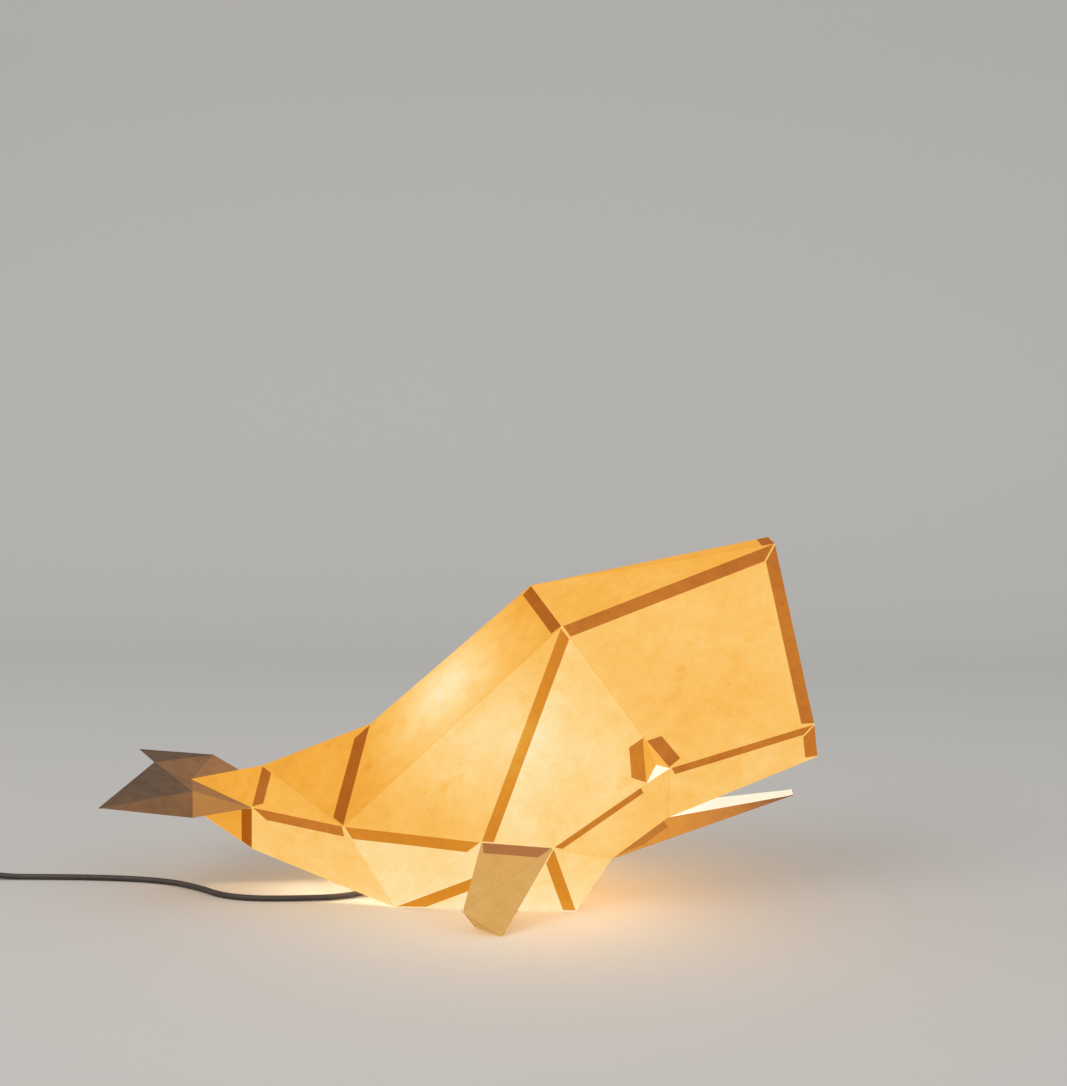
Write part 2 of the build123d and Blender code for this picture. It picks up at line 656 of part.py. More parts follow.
with BuildPart() as switch_cover:
    with BuildSketch(switch_floor.offset(INLET_Z)):
        RectangleRounded(SWITCH_L, SWITCH_W, SWITCH_ROUND)
    extrude(amount=SWITCH_H - INLET_Z)
    chamfer(switch_cover.faces().sort_by(Axis.Z)[-1].edges(), length=COVER_BEVEL)
    with BuildSketch(switch_floor.offset(INLET_Z)):
        RectangleRounded(ROOM_L, ROOM_W, SWITCH_ROUND - SWITCH_WALL)
    extrude(amount=SWITCH_H - INLET_Z - SWITCH_WALL, mode=Mode.SUBTRACT)
    with BuildSketch(switch_floor.offset(PIVOT_Z - PIVOT_EAR_DROP)):
        with GridLocations(0, WINDOW_W + PIVOT_EAR_W, 1, 2):
            Rectangle(PIVOT_EAR_L, PIVOT_EAR_W)
    extrude(amount=SWITCH_H - SWITCH_WALL - PIVOT_Z + PIVOT_EAR_DROP)
    with BuildSketch(switch_floor.offset(INLET_Z)):
        Rectangle(WINDOW_L, WINDOW_W)
    extrude(amount=SWITCH_H, mode=Mode.SUBTRACT)
    with BuildSketch(Plane(origin=(SWITCH_X, SWITCH_Y, PIVOT_Z), z_dir=(0, 1, 0))):
        Circle(PIVOT_R)
    extrude(amount=ROOM_W / 2 - 1, both=True, mode=Mode.SUBTRACT)
finish(switch_cover, "switch_cover")

rocker_plane = Plane(
    origin=(SWITCH_X, SWITCH_Y, PIVOT_Z),
    x_dir=(cos(radians(ROCKER_TILT)), 0, sin(radians(ROCKER_TILT))),
    z_dir=(0, -1, 0),
)
with BuildPart() as switch_rocker:
    with BuildSketch(rocker_plane):
        with BuildLine():
            Polyline(
                (-ROCKER_L / 2, ROCKER_LOW),
                (ROCKER_L / 2, ROCKER_LOW),
                (ROCKER_L / 2, ROCKER_HIGH),
                (0, ROCKER_DIP),
                (-ROCKER_L / 2, ROCKER_HIGH),
                close=True,
            )
        make_face()
        Circle(PIVOT_R + FIT / 2, mode=Mode.SUBTRACT)
    extrude(amount=ROCKER_W / 2, both=True)
finish(switch_rocker, "switch_rocker")

with BuildPart() as switch_pin:
    with BuildSketch(Plane(origin=(SWITCH_X, SWITCH_Y, PIVOT_Z), z_dir=(0, 1, 0))):
        Circle(PIVOT_R)
    extrude(amount=WINDOW_W / 2 + PIVOT_EAR_DROP, both=True)
finish(switch_pin, "switch_pin")

# --- plug, lying flat with its pins to -Y ------------------------------------------------------
plug_x, plug_back, plug_z = PLUG_ROUTE[-1]
half_outline = [
    (PLUG_BACK_W / 2, plug_back),
    (PLUG_NECK_W / 2, plug_back - PLUG_NECK),
    (PLUG_W / 2, plug_back - PLUG_SHOULDER),
    (PLUG_W / 2, plug_back - PLUG_L),
]
with BuildPart() as plug_body:
    with BuildSketch(Plane.XY):
        with BuildLine():
            left = [(plug_x - reach, along) for reach, along in half_outline]
            right = [(plug_x + reach, along) for reach, along in half_outline]
            Polyline(*left, *right[::-1], close=True)
        make_face()
    extrude(amount=PLUG_H)
    chamfer(plug_body.edges().filter_by(Plane.XY), length=PLUG_BEVEL)
finish(plug_body, "plug_body")

with BuildPart() as plug_pins:
    plug_face = (plug_x, plug_back - PLUG_L, plug_z)
    with BuildSketch(Plane(origin=plug_face, x_dir=(1, 0, 0), z_dir=(0, -1, 0))):
        with GridLocations(PIN_APART, 0, 2, 1):
            Circle(PIN_R)
    extrude(amount=PIN_LEN)
    chamfer(plug_pins.faces().sort_by(Axis.Y)[:2].edges(), length=PIN_BEVEL)
finish(plug_pins, "plug_pins")


# --- cord ----------------------------------------------------------------------------------------
SECTION = pi * CORD_D**2 / 4


def corner_radii(route):
    """The arc at each corner that takes its share of the shorter run there."""
    spots = [Vector(*point) for point in route]
    radii = []
    for before, corner, after in zip(spots, spots[1:], spots[2:]):
        turn = radians((corner - before).get_angle(after - corner))
        shorter = min((corner - before).length, (after - corner).length)
        radii.append(ARC_SHARE * shorter / tan(turn / 2))
    return radii


def cord_tube(route, name):
    """A cord along straight runs joined by arcs."""
    radii = corner_radii(route)
    start, following = Vector(*route[0]), Vector(*route[1])
    with BuildLine() as path:
        FilletPolyline(*route, radius=radii)
    with BuildPart() as cord:
        with BuildSketch(Plane(origin=start, z_dir=following - start)):
            Circle(CORD_D / 2)
        sweep(path=path.wires()[0])
    length = path.wires()[0].length
    print(name, "length", round(length, 1), "radii", [round(radius) for radius in radii])
    print(name, "volume over section times length", round(cord.part.volume / SECTION / length, 4))
    finish(cord, name)
    return length


cord_length = cord_tube(LAMP_ROUTE, "cord_lamp")
cord_length += cord_tube(LINK_ROUTE, "cord_link")
cord_length += cord_tube(PLUG_ROUTE, "cord_plug")


def half_turn_ends():
    """Where each flat half turn of the coil starts and ends, with its height, in order."""
    left, right = COIL_X - COIL_R, COIL_X + COIL_R
    lower = [left]
    for turn in range(COIL_HALF_TURNS):
        step = (turn // 2) * COIL_PITCH
        lower.append(right - step if turn % 2 == 0 else left + step + COIL_PITCH)
    inner = COIL_X * 2 - lower[-1]
    upper = [inner]
    for turn in range(COIL_HALF_TURNS - 1):
        step = (turn // 2 + 1) * COIL_PITCH
        upper.append(lower[-1] - step if turn % 2 == 0 else inner + step)
    return lower, upper


def flat_half_turn(start_x, end_x, height):
    """A half circle between two points on the coil's middle line, anticlockwise from above."""
    middle = (start_x + end_x) / 2
    reach = (end_x - start_x) / 2
    ThreePointArc(
        (start_x, COIL_Y, height),
        (middle, COIL_Y - reach, height),
        (end_x, COIL_Y, height),
    )


lower_ends, upper_ends = half_turn_ends()
TOP_Z = COIL_Z + COIL_PITCH
climb_r = (upper_ends[0] - lower_ends[-1]) / 2
climb_mid = (
    COIL_X,
    COIL_Y - sqrt(climb_r**2 + (COIL_PITCH / 2) ** 2),
    COIL_Z + COIL_PITCH / 2,
)
with BuildLine() as coil_path:
    Line((lower_ends[0], COIL_Y + CORD_D, COIL_Z), (lower_ends[0], COIL_Y, COIL_Z))
    for here, following in zip(lower_ends, lower_ends[1:]):
        flat_half_turn(here, following, COIL_Z)
    climb = TangentArc((lower_ends[-1], COIL_Y, COIL_Z), climb_mid, tangent=(0, -1, 0))
    TangentArc(climb_mid, (upper_ends[0], COIL_Y, TOP_Z), tangent=climb % 1)
    for here, following in zip(upper_ends, upper_ends[1:]):
        flat_half_turn(here, following, TOP_Z)
    Line((upper_ends[-1], COIL_Y, TOP_Z), (upper_ends[-1], COIL_Y - CORD_D, TOP_Z))
coil_wire = coil_path.wires()[0]
with BuildPart() as cord_coil:
    with BuildSketch(Plane(origin=(lower_ends[0], COIL_Y + CORD_D, COIL_Z), z_dir=(0, -1, 0))):
        Circle(CORD_D / 2)
    sweep(path=coil_wire)
finish(cord_coil, "cord_coil")


def least_gap(wire, step=2.0):
    """Least clear space between stretches of the coil, on points along its middle line."""
    count = int(wire.length / step)
    spots = [wire @ (index / count) for index in range(count + 1)]
    apart = int(3 * CORD_D / step)
    gaps = [
        (spots[i] - spots[j]).length
        for i in range(count + 1)
        for j in range(i + apart, count + 1)
    ]
    return min(gaps) - CORD_D


print("coil length", round(coil_wire.length, 1), "least gap", round(least_gap(coil_wire), 2))
coil_ratio = cord_coil.part.volume / SECTION / coil_wire.length
print("coil volume over section times length", round(coil_ratio, 4))
cord_length += coil_wire.length
print("whole cord without its switch", round(cord_length))

# --- tie round the coil's turns -------------------------------------------------------------------
band_low, band_high = 0.0, TOP_Z + CORD_D / 2 + TIE_GAP
band_in = sqrt((climb_r - CORD_D / 2) ** 2 - (TIE_WIDTH / 2) ** 2) - TIE_GAP
band_out = COIL_R + CORD_D / 2 + TIE_GAP
with BuildPart() as coil_tie:
    tie_plane = Plane(origin=(COIL_X, COIL_Y, 0), x_dir=(1, 0, 0), z_dir=(0, -1, 0))
    middle_height = (band_low + TIE_WALL + band_high) / 2
    tie_height = band_high - band_low - TIE_WALL
    with BuildSketch(tie_plane):
        with Locations(((band_in + band_out) / 2, middle_height)):
            Rectangle(band_out - band_in + 2 * TIE_WALL, tie_height + 2 * TIE_WALL)
            Rectangle(band_out - band_in, tie_height, mode=Mode.SUBTRACT)
    extrude(amount=TIE_WIDTH / 2, both=True)
finish(coil_tie, "coil_tie")
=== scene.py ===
import math
import bmesh
import bpy
import numpy as np
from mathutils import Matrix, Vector


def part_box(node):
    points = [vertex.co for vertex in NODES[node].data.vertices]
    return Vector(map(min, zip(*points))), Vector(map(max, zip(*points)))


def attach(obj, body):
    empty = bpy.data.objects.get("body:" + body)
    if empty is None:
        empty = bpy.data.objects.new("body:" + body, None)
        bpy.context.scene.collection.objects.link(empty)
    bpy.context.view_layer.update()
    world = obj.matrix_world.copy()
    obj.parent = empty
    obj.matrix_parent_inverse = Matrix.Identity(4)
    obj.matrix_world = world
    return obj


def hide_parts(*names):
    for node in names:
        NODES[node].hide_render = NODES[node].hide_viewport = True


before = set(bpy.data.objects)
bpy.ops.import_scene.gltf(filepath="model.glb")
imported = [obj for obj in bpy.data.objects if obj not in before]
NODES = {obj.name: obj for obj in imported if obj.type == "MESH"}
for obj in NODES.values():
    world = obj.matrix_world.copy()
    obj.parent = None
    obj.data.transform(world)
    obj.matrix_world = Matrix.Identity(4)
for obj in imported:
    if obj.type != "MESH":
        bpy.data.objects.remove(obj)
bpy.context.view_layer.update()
MM = 0.001

# -------- camera, matched to the photograph
FOCAL_PX, FRAME_LONG_SIDE_PX, SENSOR_MM = 1550, 1086, 36
CAMERA_PLACE = (0.195, -1.411, 0.4165)
CAMERA_TURN, CAMERA_PITCH = math.radians(5.4), math.radians(3.544)
CLIP_NEAR, CLIP_FAR = 0.05, 50


def link(thing):
    bpy.context.scene.collection.objects.link(thing)
    return thing


camera_data = bpy.data.cameras.new("camera")
camera_data.sensor_width = SENSOR_MM
camera_data.lens = FOCAL_PX / FRAME_LONG_SIDE_PX * SENSOR_MM
camera_data.clip_start, camera_data.clip_end = CLIP_NEAR, CLIP_FAR
camera = link(bpy.data.objects.new("camera", camera_data))
camera.location = CAMERA_PLACE
camera.rotation_euler = (math.pi / 2 - CAMERA_PITCH, 0, CAMERA_TURN)
bpy.context.scene.camera = camera
bpy.context.scene.view_settings.view_transform = "Standard"


# -------- laying out a material's nodes
class Tree:
    """A material and short ways to add its nodes. Inputs go by the node's own names, with _ for a
    space, or by their number, as in _0."""

    def __init__(self, name):
        self.material = bpy.data.materials.new(name)
        self.material.use_nodes = True
        self.nodes = self.material.node_tree.nodes
        self.links = self.material.node_tree.links
        self.nodes.clear()

    def put(self, socket, value):
        if isinstance(value, bpy.types.NodeSocket):
            self.links.new(value, socket)
        else:
            socket.default_value = value

    def add(self, kind, settings=None, **inputs):
        node = self.nodes.new("ShaderNode" + kind)
        for name, value in (settings or {}).items():
            setattr(node, name, value)
        for name, value in inputs.items():
            numbered = name[1:].isdigit()
            self.put(node.inputs[int(name[1:]) if numbered else name.replace("_", " ")], value)
        return node

    def math(self, operation, *values):
        inputs = {f"_{number}": value for number, value in enumerate(values)}
        return self.add("Math", {"operation": operation}, **inputs).outputs[0]

    def ease(self, value, low, high, start=0.0, end=1.0):
        """`start` below `low`, `end` above `high`, and a smooth change in between."""
        node = self.add("MapRange", {"interpolation_type": "SMOOTHSTEP"}, Value=value)
        names = ("From Min", "From Max", "To Min", "To Max")
        for name, number in zip(names, (low, high, start, end)):
            self.put(node.inputs[name], number)
        return node.outputs[0]

    def ramp(self, value, stops):
        """A colour ramp from pairs of place and linear colour."""
        node = self.add("ValToRGB", Fac=value)
        elements = node.color_ramp.elements
        while len(elements) < len(stops):
            elements.new(0.5)
        for element, (spot, color) in zip(elements, stops):
            element.position = spot
            element.color = (*color, 1)
        return node.outputs[0]

    def shades(self, noise, dark, light):
        """A drift from one colour to another over the middle of a noise's range."""
        return self.ramp(noise, [(0.3, dark), (0.7, light)])

    def noise(self, vector, scale, detail=3.0, roughness=0.55):
        inputs = {"Vector": vector, "Scale": scale, "Detail": detail, "Roughness": roughness}
        return self.add("TexNoise", **inputs).outputs["Fac"]

    def blend(self, share, first, second):
        return self.add("Mix", {"data_type": "RGBA"}, _0=share, _6=first, _7=second).outputs[2]

    def bump(self, height, strength, distance=0.0002):
        """The tilt of a surface that rises with `height` by up to `distance` metres."""
        return self.add("Bump", Height=height, Strength=strength, Distance=distance).outputs[0]

    def own_space(self):
        return self.add("TexCoord").outputs["Object"]

    def stretched(self, scale):
        """The object's own space, drawn out by these factors."""
        return self.add("Mapping", _0=self.own_space(), Scale=scale).outputs[0]

    def attribute(self, name):
        return self.add("Attribute", {"attribute_name": name}).outputs["Vector"]

    def parts(self, vector):
        return self.add("SeparateXYZ", _0=vector).outputs

    def finish(self, shader):
        self.add("OutputMaterial", Surface=shader.outputs[0])
        return self.material

    def surface(self, **inputs):
        return self.finish(self.add("BsdfPrincipled", **inputs))


# -------- studio
FLOOR_FRONT, FLOOR_BACK, SWEEP_R, WALL_TOP, STUDIO_HALF_WIDTH = -5.0, 1.6, 1.6, 7.0, 7.0
SWEEP_STEPS = 48
FLOOR_COLOR = (0.56, 0.545, 0.52, 1)
SKY_COLOR, SKY_STRENGTH = (0.95, 0.97, 1, 1), 0.78
BULB_MIDDLE, BULB_SOFTNESS = (0, 0, 0.1), 0.022


def build_studio():
    """Floor and backdrop in one: a flat floor, a quarter circle up, and a wall, drawn sideways."""
    turn = np.linspace(0, math.pi / 2, SWEEP_STEPS)
    depth = FLOOR_BACK + SWEEP_R * np.sin(turn)
    height = SWEEP_R * (1 - np.cos(turn))
    depth = np.concatenate([[FLOOR_FRONT], depth, [FLOOR_BACK + SWEEP_R]])
    height = np.concatenate([[0.0], height, [WALL_TOP]])
    count = len(depth)
    verts = np.concatenate([
        np.stack([np.full(count, side * STUDIO_HALF_WIDTH), depth, height], axis=1)
        for side in (-1, 1)
    ])
    row = np.arange(count - 1)
    faces = np.stack([row, row + count, row + count + 1, row + 1], axis=1)
    mesh = bpy.data.meshes.new("studio")
    mesh.from_pydata(verts.tolist(), [], faces.tolist())
    mesh.shade_smooth()
    tree = Tree("studio_paint")
    mesh.materials.append(tree.finish(tree.add("BsdfDiffuse", Color=FLOOR_COLOR)))
    link(bpy.data.objects.new("studio", mesh))


def area_light(name, position, size, power, color):
    """A square light turned to the bulb."""
    data = bpy.data.lights.new(name, "AREA")
    data.size, data.energy, data.color = size, power, color
    light = link(bpy.data.objects.new(name, data))
    light.location = position
    look = Vector(BULB_MIDDLE) - Vector(position)
    light.rotation_euler = look.to_track_quat("-Z", "Y").to_euler()


def warm_light(name, position, power, color):
    data = bpy.data.lights.new(name, "POINT")
    data.energy, data.color, data.shadow_soft_size = power, color, BULB_SOFTNESS
    link(bpy.data.objects.new(name, data)).location = position
    return data


build_studio()
world = bpy.data.worlds.new("world")
bpy.context.scene.world = world
world.use_nodes = True
background = world.node_tree.nodes["Background"].inputs
background["Color"].default_value = SKY_COLOR
background["Strength"].default_value = SKY_STRENGTH
area_light("key", (-1.8, -2.4, 2.8), size=2.4, power=50, color=(1, 0.97, 0.93))
area_light("fill", (2.4, -1.8, 1.8), size=2.2, power=14, color=(0.95, 0.97, 1))

# The bulb's light leaves by the openings, and a weaker one stands for what comes through the paper.
warm_light("bulb_light", BULB_MIDDLE, power=3.0, color=(1, 0.72, 0.38))
paper_glow = warm_light("paper_glow", (0.06, 0, 0.11), power=1.2, color=(1, 0.58, 0.22))
paper_glow.use_shadow = False

# -------- cords
CORD_D, FOOT_R, GRIP_OUT, GRIP_Z, INLET_Z = 5.4, 38.0, 8.0, 7.5, 8.5
FLOOR_Z = CORD_D / 2 + 0.1           # the cord's middle line where it lies on the floor
COIL_X, COIL_Y, COIL_Z = -588.2, -60.0, CORD_D / 2 + 0.8
COIL_R, COIL_PITCH, COIL_HALF_TURNS = 38.0, 5.9, 6
POINTS_PER_HALF_TURN = 8
PLUG_Z = 13.7 / 2
LAMP_ROUTE = [
    (-FOOT_R - GRIP_OUT, 0, GRIP_Z),
    (-62, 0, GRIP_Z),
    (-86, -12, 4.6),
    (-116, -29, FLOOR_Z),
    (-154, -37, FLOOR_Z),
    (-192, -41, FLOOR_Z),
    (-224, -35, FLOOR_Z),
    (-250, -14, FLOOR_Z),
    (-282, 4, FLOOR_Z),
    (-322, 12, FLOOR_Z),
    (-368, 13, FLOOR_Z),
    (-414, 10.5, FLOOR_Z),
    (-452, 7.5, FLOOR_Z),
    (-483, 5, INLET_Z),
    (-500, 5, INLET_Z),
]
LINK_ROUTE = [
    (-572, 5, INLET_Z),
    (-590, 5, INLET_Z),
    (-608.1, -3.5, 6.6),
    (-621, -18.8, 4.6),
    (-626.2, -38.1, COIL_Z),
    (-626.2, -54.6, COIL_Z),
]
PLUG_ROUTE = [
    (-626.2, -65.4, COIL_Z + COIL_PITCH),
    (-626.2, -81, COIL_Z + COIL_PITCH),
    (-621, -100, PLUG_Z),
    (-621, -117, PLUG_Z),
]


def half_turn(start_x, end_x, low, high):
    """Control points round half a circle from one point of the coil's middle line to another,
    anticlockwise, rising steadily; they stand out so that the curve inside them has the radius."""
    middle, reach = (start_x + end_x) / 2, (end_x - start_x) / 2
    share = (np.arange(POINTS_PER_HALF_TURN) + 0.5) / POINTS_PER_HALF_TURN
    out = 1 / math.cos(math.pi / POINTS_PER_HALF_TURN / 2)
    x = middle - reach * out * np.cos(math.pi * share)
    y = COIL_Y - reach * out * np.sin(math.pi * share)
    return np.stack([x, y, low + (high - low) * share], axis=1)


def coil_points():
    """The coil's turns: two flat spirals, one winding in and one out on top of it."""
    left, right, top = COIL_X - COIL_R, COIL_X + COIL_R, COIL_Z + COIL_PITCH
    ends = [left]
    for turn in range(COIL_HALF_TURNS):
        step = (turn // 2) * COIL_PITCH
        ends.append(right - step if turn % 2 == 0 else left + step + COIL_PITCH)
    turns = [half_turn(a, b, COIL_Z, COIL_Z) for a, b in zip(ends, ends[1:])]
    inner = 2 * COIL_X - ends[-1]
    turns.append(half_turn(ends[-1], inner, COIL_Z, top))
    back = [inner]
    for turn in range(COIL_HALF_TURNS - 1):
        step = (turn // 2 + 1) * COIL_PITCH
        back.append(ends[-1] - step if turn % 2 == 0 else inner + step)
    turns += [half_turn(a, b, top, top) for a, b in zip(back, back[1:])]
    return np.concatenate(turns)


def cord_curve(name, points):
    """A round cord along a smooth spline that has these control points, in millimetres."""
    curve = bpy.data.curves.new(name, "CURVE")
    curve.dimensions = "3D"
    curve.bevel_depth = CORD_D / 2 * MM
    curve.bevel_resolution = 6
    curve.resolution_u = 8
    curve.use_fill_caps = True
    spline = curve.splines.new("NURBS")
    spline.points.add(len(points) - 1)
    flat = np.column_stack([np.array(points) * MM, np.ones(len(points))]).ravel()
    spline.points.foreach_set("co", flat)
    spline.order_u = 3
    spline.use_endpoint_u = True
    curve.materials.append(cord_jacket)
    cord = link(bpy.data.objects.new(name, curve))
    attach(cord, "light_unit")
    return cord


def make_cord_jacket():
    """Dark brown sheathing, satin, with a faint grain and scuffs."""
    tree = Tree("cord_jacket")
    spot = tree.own_space()
    return tree.surface(
        Base_Color=tree.shades(
            tree.noise(spot, 35, 4), (0.030, 0.021, 0.015), (0.050, 0.036, 0.027)
        ),
        Roughness=tree.ease(tree.noise(spot, 180, 4), 0.35, 0.7, 0.42, 0.6),
        Normal=tree.bump(tree.noise(spot, 1500, 2), 0.15),
    )


cord_jacket = make_cord_jacket()


# -------- skins over rings
def skin(name, rings, made, loop=False, bevel=None):
    """A closed skin over rings of points, given in millimetres: quads between neighbouring rings
    and, unless the last ring joins the first, a fan over each end. Where the enclosed volume
    comes out negative, every face is turned over."""
    count, around = rings.shape[:2]
    here = np.arange(around)
    following = (here + 1) % around
    row = (np.arange(count if loop else count - 1) * around)[:, None]
    next_row = (row + around) % (count * around)
    quads = [row + here, row + following, next_row + following, next_row + here]
    quads = np.stack(quads, axis=2).reshape(-1, 4)
    verts = rings.reshape(-1, 3)
    fans = np.zeros((0, 3), int)
    if not loop:
        verts = np.concatenate([verts, rings[[0, -1]].mean(axis=1)])
        low_end, high_end = np.full(around, count * around), np.full(around, count * around + 1)
        last = (count - 1) * around
        fans = np.concatenate([
            np.stack([low_end, following, here], axis=1),
            np.stack([high_end, last + here, last + following], axis=1),
        ])
    triangles = np.concatenate([quads[:, :3], quads[:, [0, 2, 3]], fans])
    corners = verts[triangles]
    volume = (corners[:, 0] * np.cross(corners[:, 1], corners[:, 2])).sum()
    if volume < 0:
        quads, fans = quads[:, ::-1], fans[:, ::-1]
    mesh = bpy.data.meshes.new(name)
    mesh.from_pydata((verts * MM).tolist(), [], quads.tolist() + fans.tolist())
    mesh.shade_smooth()
    mesh.materials.append(made)
    piece = link(bpy.data.objects.new(name, mesh))
    if bevel:
        soft = piece.modifiers.new("soft_edges", "BEVEL")
        soft.width, soft.segments, soft.limit_method = bevel * MM, 2, "ANGLE"
        soft.harden_normals = True
    return piece


def stand_for(piece, body, slot, *nodes):
    """The piece moves with a body and stands for these nodes. Its finish slot is not used."""
    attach(piece, body)
    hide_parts(*nodes)


def full_turn(count):
    """Angles all the way round, the last left off."""
    return np.arange(count) / count * 2 * math.pi


def about_axis(radius, angle, height):
    """Points at these radii, angles and heights about the lamp's upright axis."""
    return np.stack([radius * np.cos(angle), radius * np.sin(angle), height + 0 * angle], axis=2)


def swing(angle):
    """A raised cosine: 0, up to 1 and back, once a turn."""
    return 0.5 - 0.5 * np.cos(angle)


def smooth(share):
    """From 0 to 1 with a level start and end."""
    return share * share * (3 - 2 * share)


def superellipse(angle, power):
    """Cosine and sine of an angle, each raised to a power with its sign kept."""
    across, up = np.cos(angle), np.sin(angle)
    return np.sign(across) * np.abs(across) ** power, np.sign(up) * np.abs(up) ** power


def turned(profile, around=96, ribs=0, rib_depth=0.0, ribbed=(0, 0)):
    """Rings about the lamp's axis through pairs of radius and height. Between two heights the
    radius dips by a raised cosine so many times round."""
    angle = full_turn(around)
    radius, height = np.array(profile, float).T[:, :, None]
    dip = rib_depth * swing(ribs * angle)
    radius = radius - dip * ((height > ribbed[0]) & (height < ribbed[1]))
    return about_axis(radius, angle, height)


def steps(start, end, count):
    """Points from one pair to another, the last left off."""
    share = np.arange(count)[:, None] / count
    return (np.array(start, float) * (1 - share) + np.array(end, float) * share).tolist()


def arc(centre, radius, start, end, count):
    """Points on a circle in the plane of radius and height, angles in degrees."""
    turn = np.radians(np.linspace(start, end, count))
    return (np.array(centre) + radius * np.stack([np.cos(turn), np.sin(turn)], axis=1)).tolist()


# -------- finishes
def plain_finish(name, dark, light, gloss, drift, grain, relief):
    """A moulded or painted finish: the colour drifts between two shades over the piece, the
    gloss is uneven between two roughnesses, five times as finely, and a grain roughens it."""
    tree = Tree(name)
    spot = tree.own_space()
    return tree.surface(
        Base_Color=tree.shades(tree.noise(spot, drift, 5), dark, light),
        Roughness=tree.ease(tree.noise(spot, 5 * drift, 4), 0.35, 0.65, *gloss),
        Normal=tree.bump(tree.noise(spot, grain, 3), relief),
    )


def make_felt():
    """Pressed wool felt: dark fibres lying every way, soft at grazing light."""
    tree = Tree("felt")
    hairs = tree.noise(tree.stretched((1.0, 3.5, 1.0)), 700, 6, 0.7)
    crossing = tree.noise(tree.stretched((3.5, 1.0, 1.0)), 620, 6, 0.7)
    nap = tree.math("MAXIMUM", hairs, crossing)
    return tree.surface(
        Base_Color=tree.ramp(nap, [(0.35, (0.012, 0.011, 0.010)), (0.75, (0.060, 0.055, 0.050))]),
        Roughness=0.95,
        Normal=tree.bump(nap, 0.6, 0.0006),
        Sheen_Weight=0.4,
    )


def make_brushed(name, dark, light, gloss):
    """Turned metal: fine rings of tool marks across the axis."""
    tree = Tree(name)
    marks = tree.noise(tree.stretched((1.0, 1.0, 60.0)), 60, 4, 0.6)
    return tree.surface(
        Base_Color=tree.shades(marks, dark, light),
        Metallic=1.0,
        Roughness=tree.ease(marks, 0.3, 0.7, *gloss),
        Normal=tree.bump(marks, 0.12, 0.0001),
    )


# Where one finish gives way to another on the same piece, in metres: heights on the bulb's cap
# and globe, and along Y on the plug's pins.
CAP_GLASS_TOP, CAP_CONTACT_TOP, GIVE_WAY = 0.0478, 0.0452, 0.0001
GLOBE_DIM_BELOW, GLOBE_BRIGHT_ABOVE = 0.083, 0.108
SLEEVE_END = -0.163
BLACK_GLASS = (0.015, 0.014, 0.02, 1)
SOLDER = (0.45, 0.45, 0.46, 1)
PIN_SLEEVE = (0.02, 0.02, 0.021, 1)


def make_bulb_cap_metal():
    """A plated screw cap, with dark glass and a solder contact at its foot, told by height."""
    tree = Tree("bulb_cap_metal")
    spot = tree.own_space()
    height = tree.parts(spot)[2]
    plating = tree.shades(tree.noise(spot, 160, 4), (0.52, 0.52, 0.54), (0.68, 0.68, 0.70))
    glass = tree.ease(height, CAP_GLASS_TOP, CAP_GLASS_TOP + GIVE_WAY, 1.0, 0.0)
    solder = tree.ease(height, CAP_CONTACT_TOP, CAP_CONTACT_TOP + GIVE_WAY, 1.0, 0.0)
    return tree.surface(
        Base_Color=tree.blend(solder, tree.blend(glass, plating, BLACK_GLASS), SOLDER),
        Metallic=tree.math("MAXIMUM", tree.math("SUBTRACT", 1.0, glass), solder),
        Roughness=tree.ease(tree.noise(spot, 300, 4), 0.3, 0.7, 0.22, 0.42),
    )


def make_opal_glass():
    """The lit opal globe: brightest in its upper half and softer down at the collar."""
    tree = Tree("opal_glass")
    spot = tree.own_space()
    rise = tree.ease(tree.parts(spot)[2], GLOBE_DIM_BELOW, GLOBE_BRIGHT_ABOVE, 0.0, 0.85)
    cloud = tree.math("MULTIPLY", tree.noise(spot, 50, 3), 0.15)
    level = tree.math("ADD", rise, cloud)
    return tree.surface(
        Base_Color=(0.12, 0.11, 0.09, 1),
        Roughness=0.22,
        Emission_Color=tree.ramp(level, [(0.0, (0.62, 0.40, 0.18)), (1.0, (0.90, 0.79, 0.58))]),
        Emission_Strength=1.0,
    )


def make_plug_pins():
    """Nickel-plated pins whose roots are sleeved in black plastic, told by the distance along."""
    tree = Tree("pin_metal")
    spot = tree.own_space()
    plating = tree.shades(tree.noise(spot, 220, 4), (0.50, 0.47, 0.42), (0.66, 0.63, 0.57))
    sleeve = tree.ease(tree.parts(spot)[1], SLEEVE_END - GIVE_WAY, SLEEVE_END + GIVE_WAY)
    return tree.surface(
        Base_Color=tree.blend(sleeve, plating, PIN_SLEEVE),
        Metallic=tree.math("SUBTRACT", 1.0, sleeve),
        Roughness=tree.ease(tree.noise(spot, 260, 4), 0.3, 0.7, 0.2, 0.38),
    )


def make_strap():
    """Woven hook-and-loop strap: warp and weft as crossing waves along its own two ways."""
    tree = Tree("tie_plastic")
    spot = tree.own_space()
    warp, weft = (
        tree.add("TexWave", {"bands_direction": way}, Vector=spot, Scale=420.0).outputs["Fac"]
        for way in ("Y", "X")
    )
    cloth = tree.math("MULTIPLY", warp, weft)
    return tree.surface(
        Base_Color=tree.ramp(cloth, [(0.0, (0.012, 0.012, 0.013)), (1.0, (0.045, 0.045, 0.047))]),
        Roughness=0.85,
        Normal=tree.bump(cloth, 0.4, 0.0003),
    )


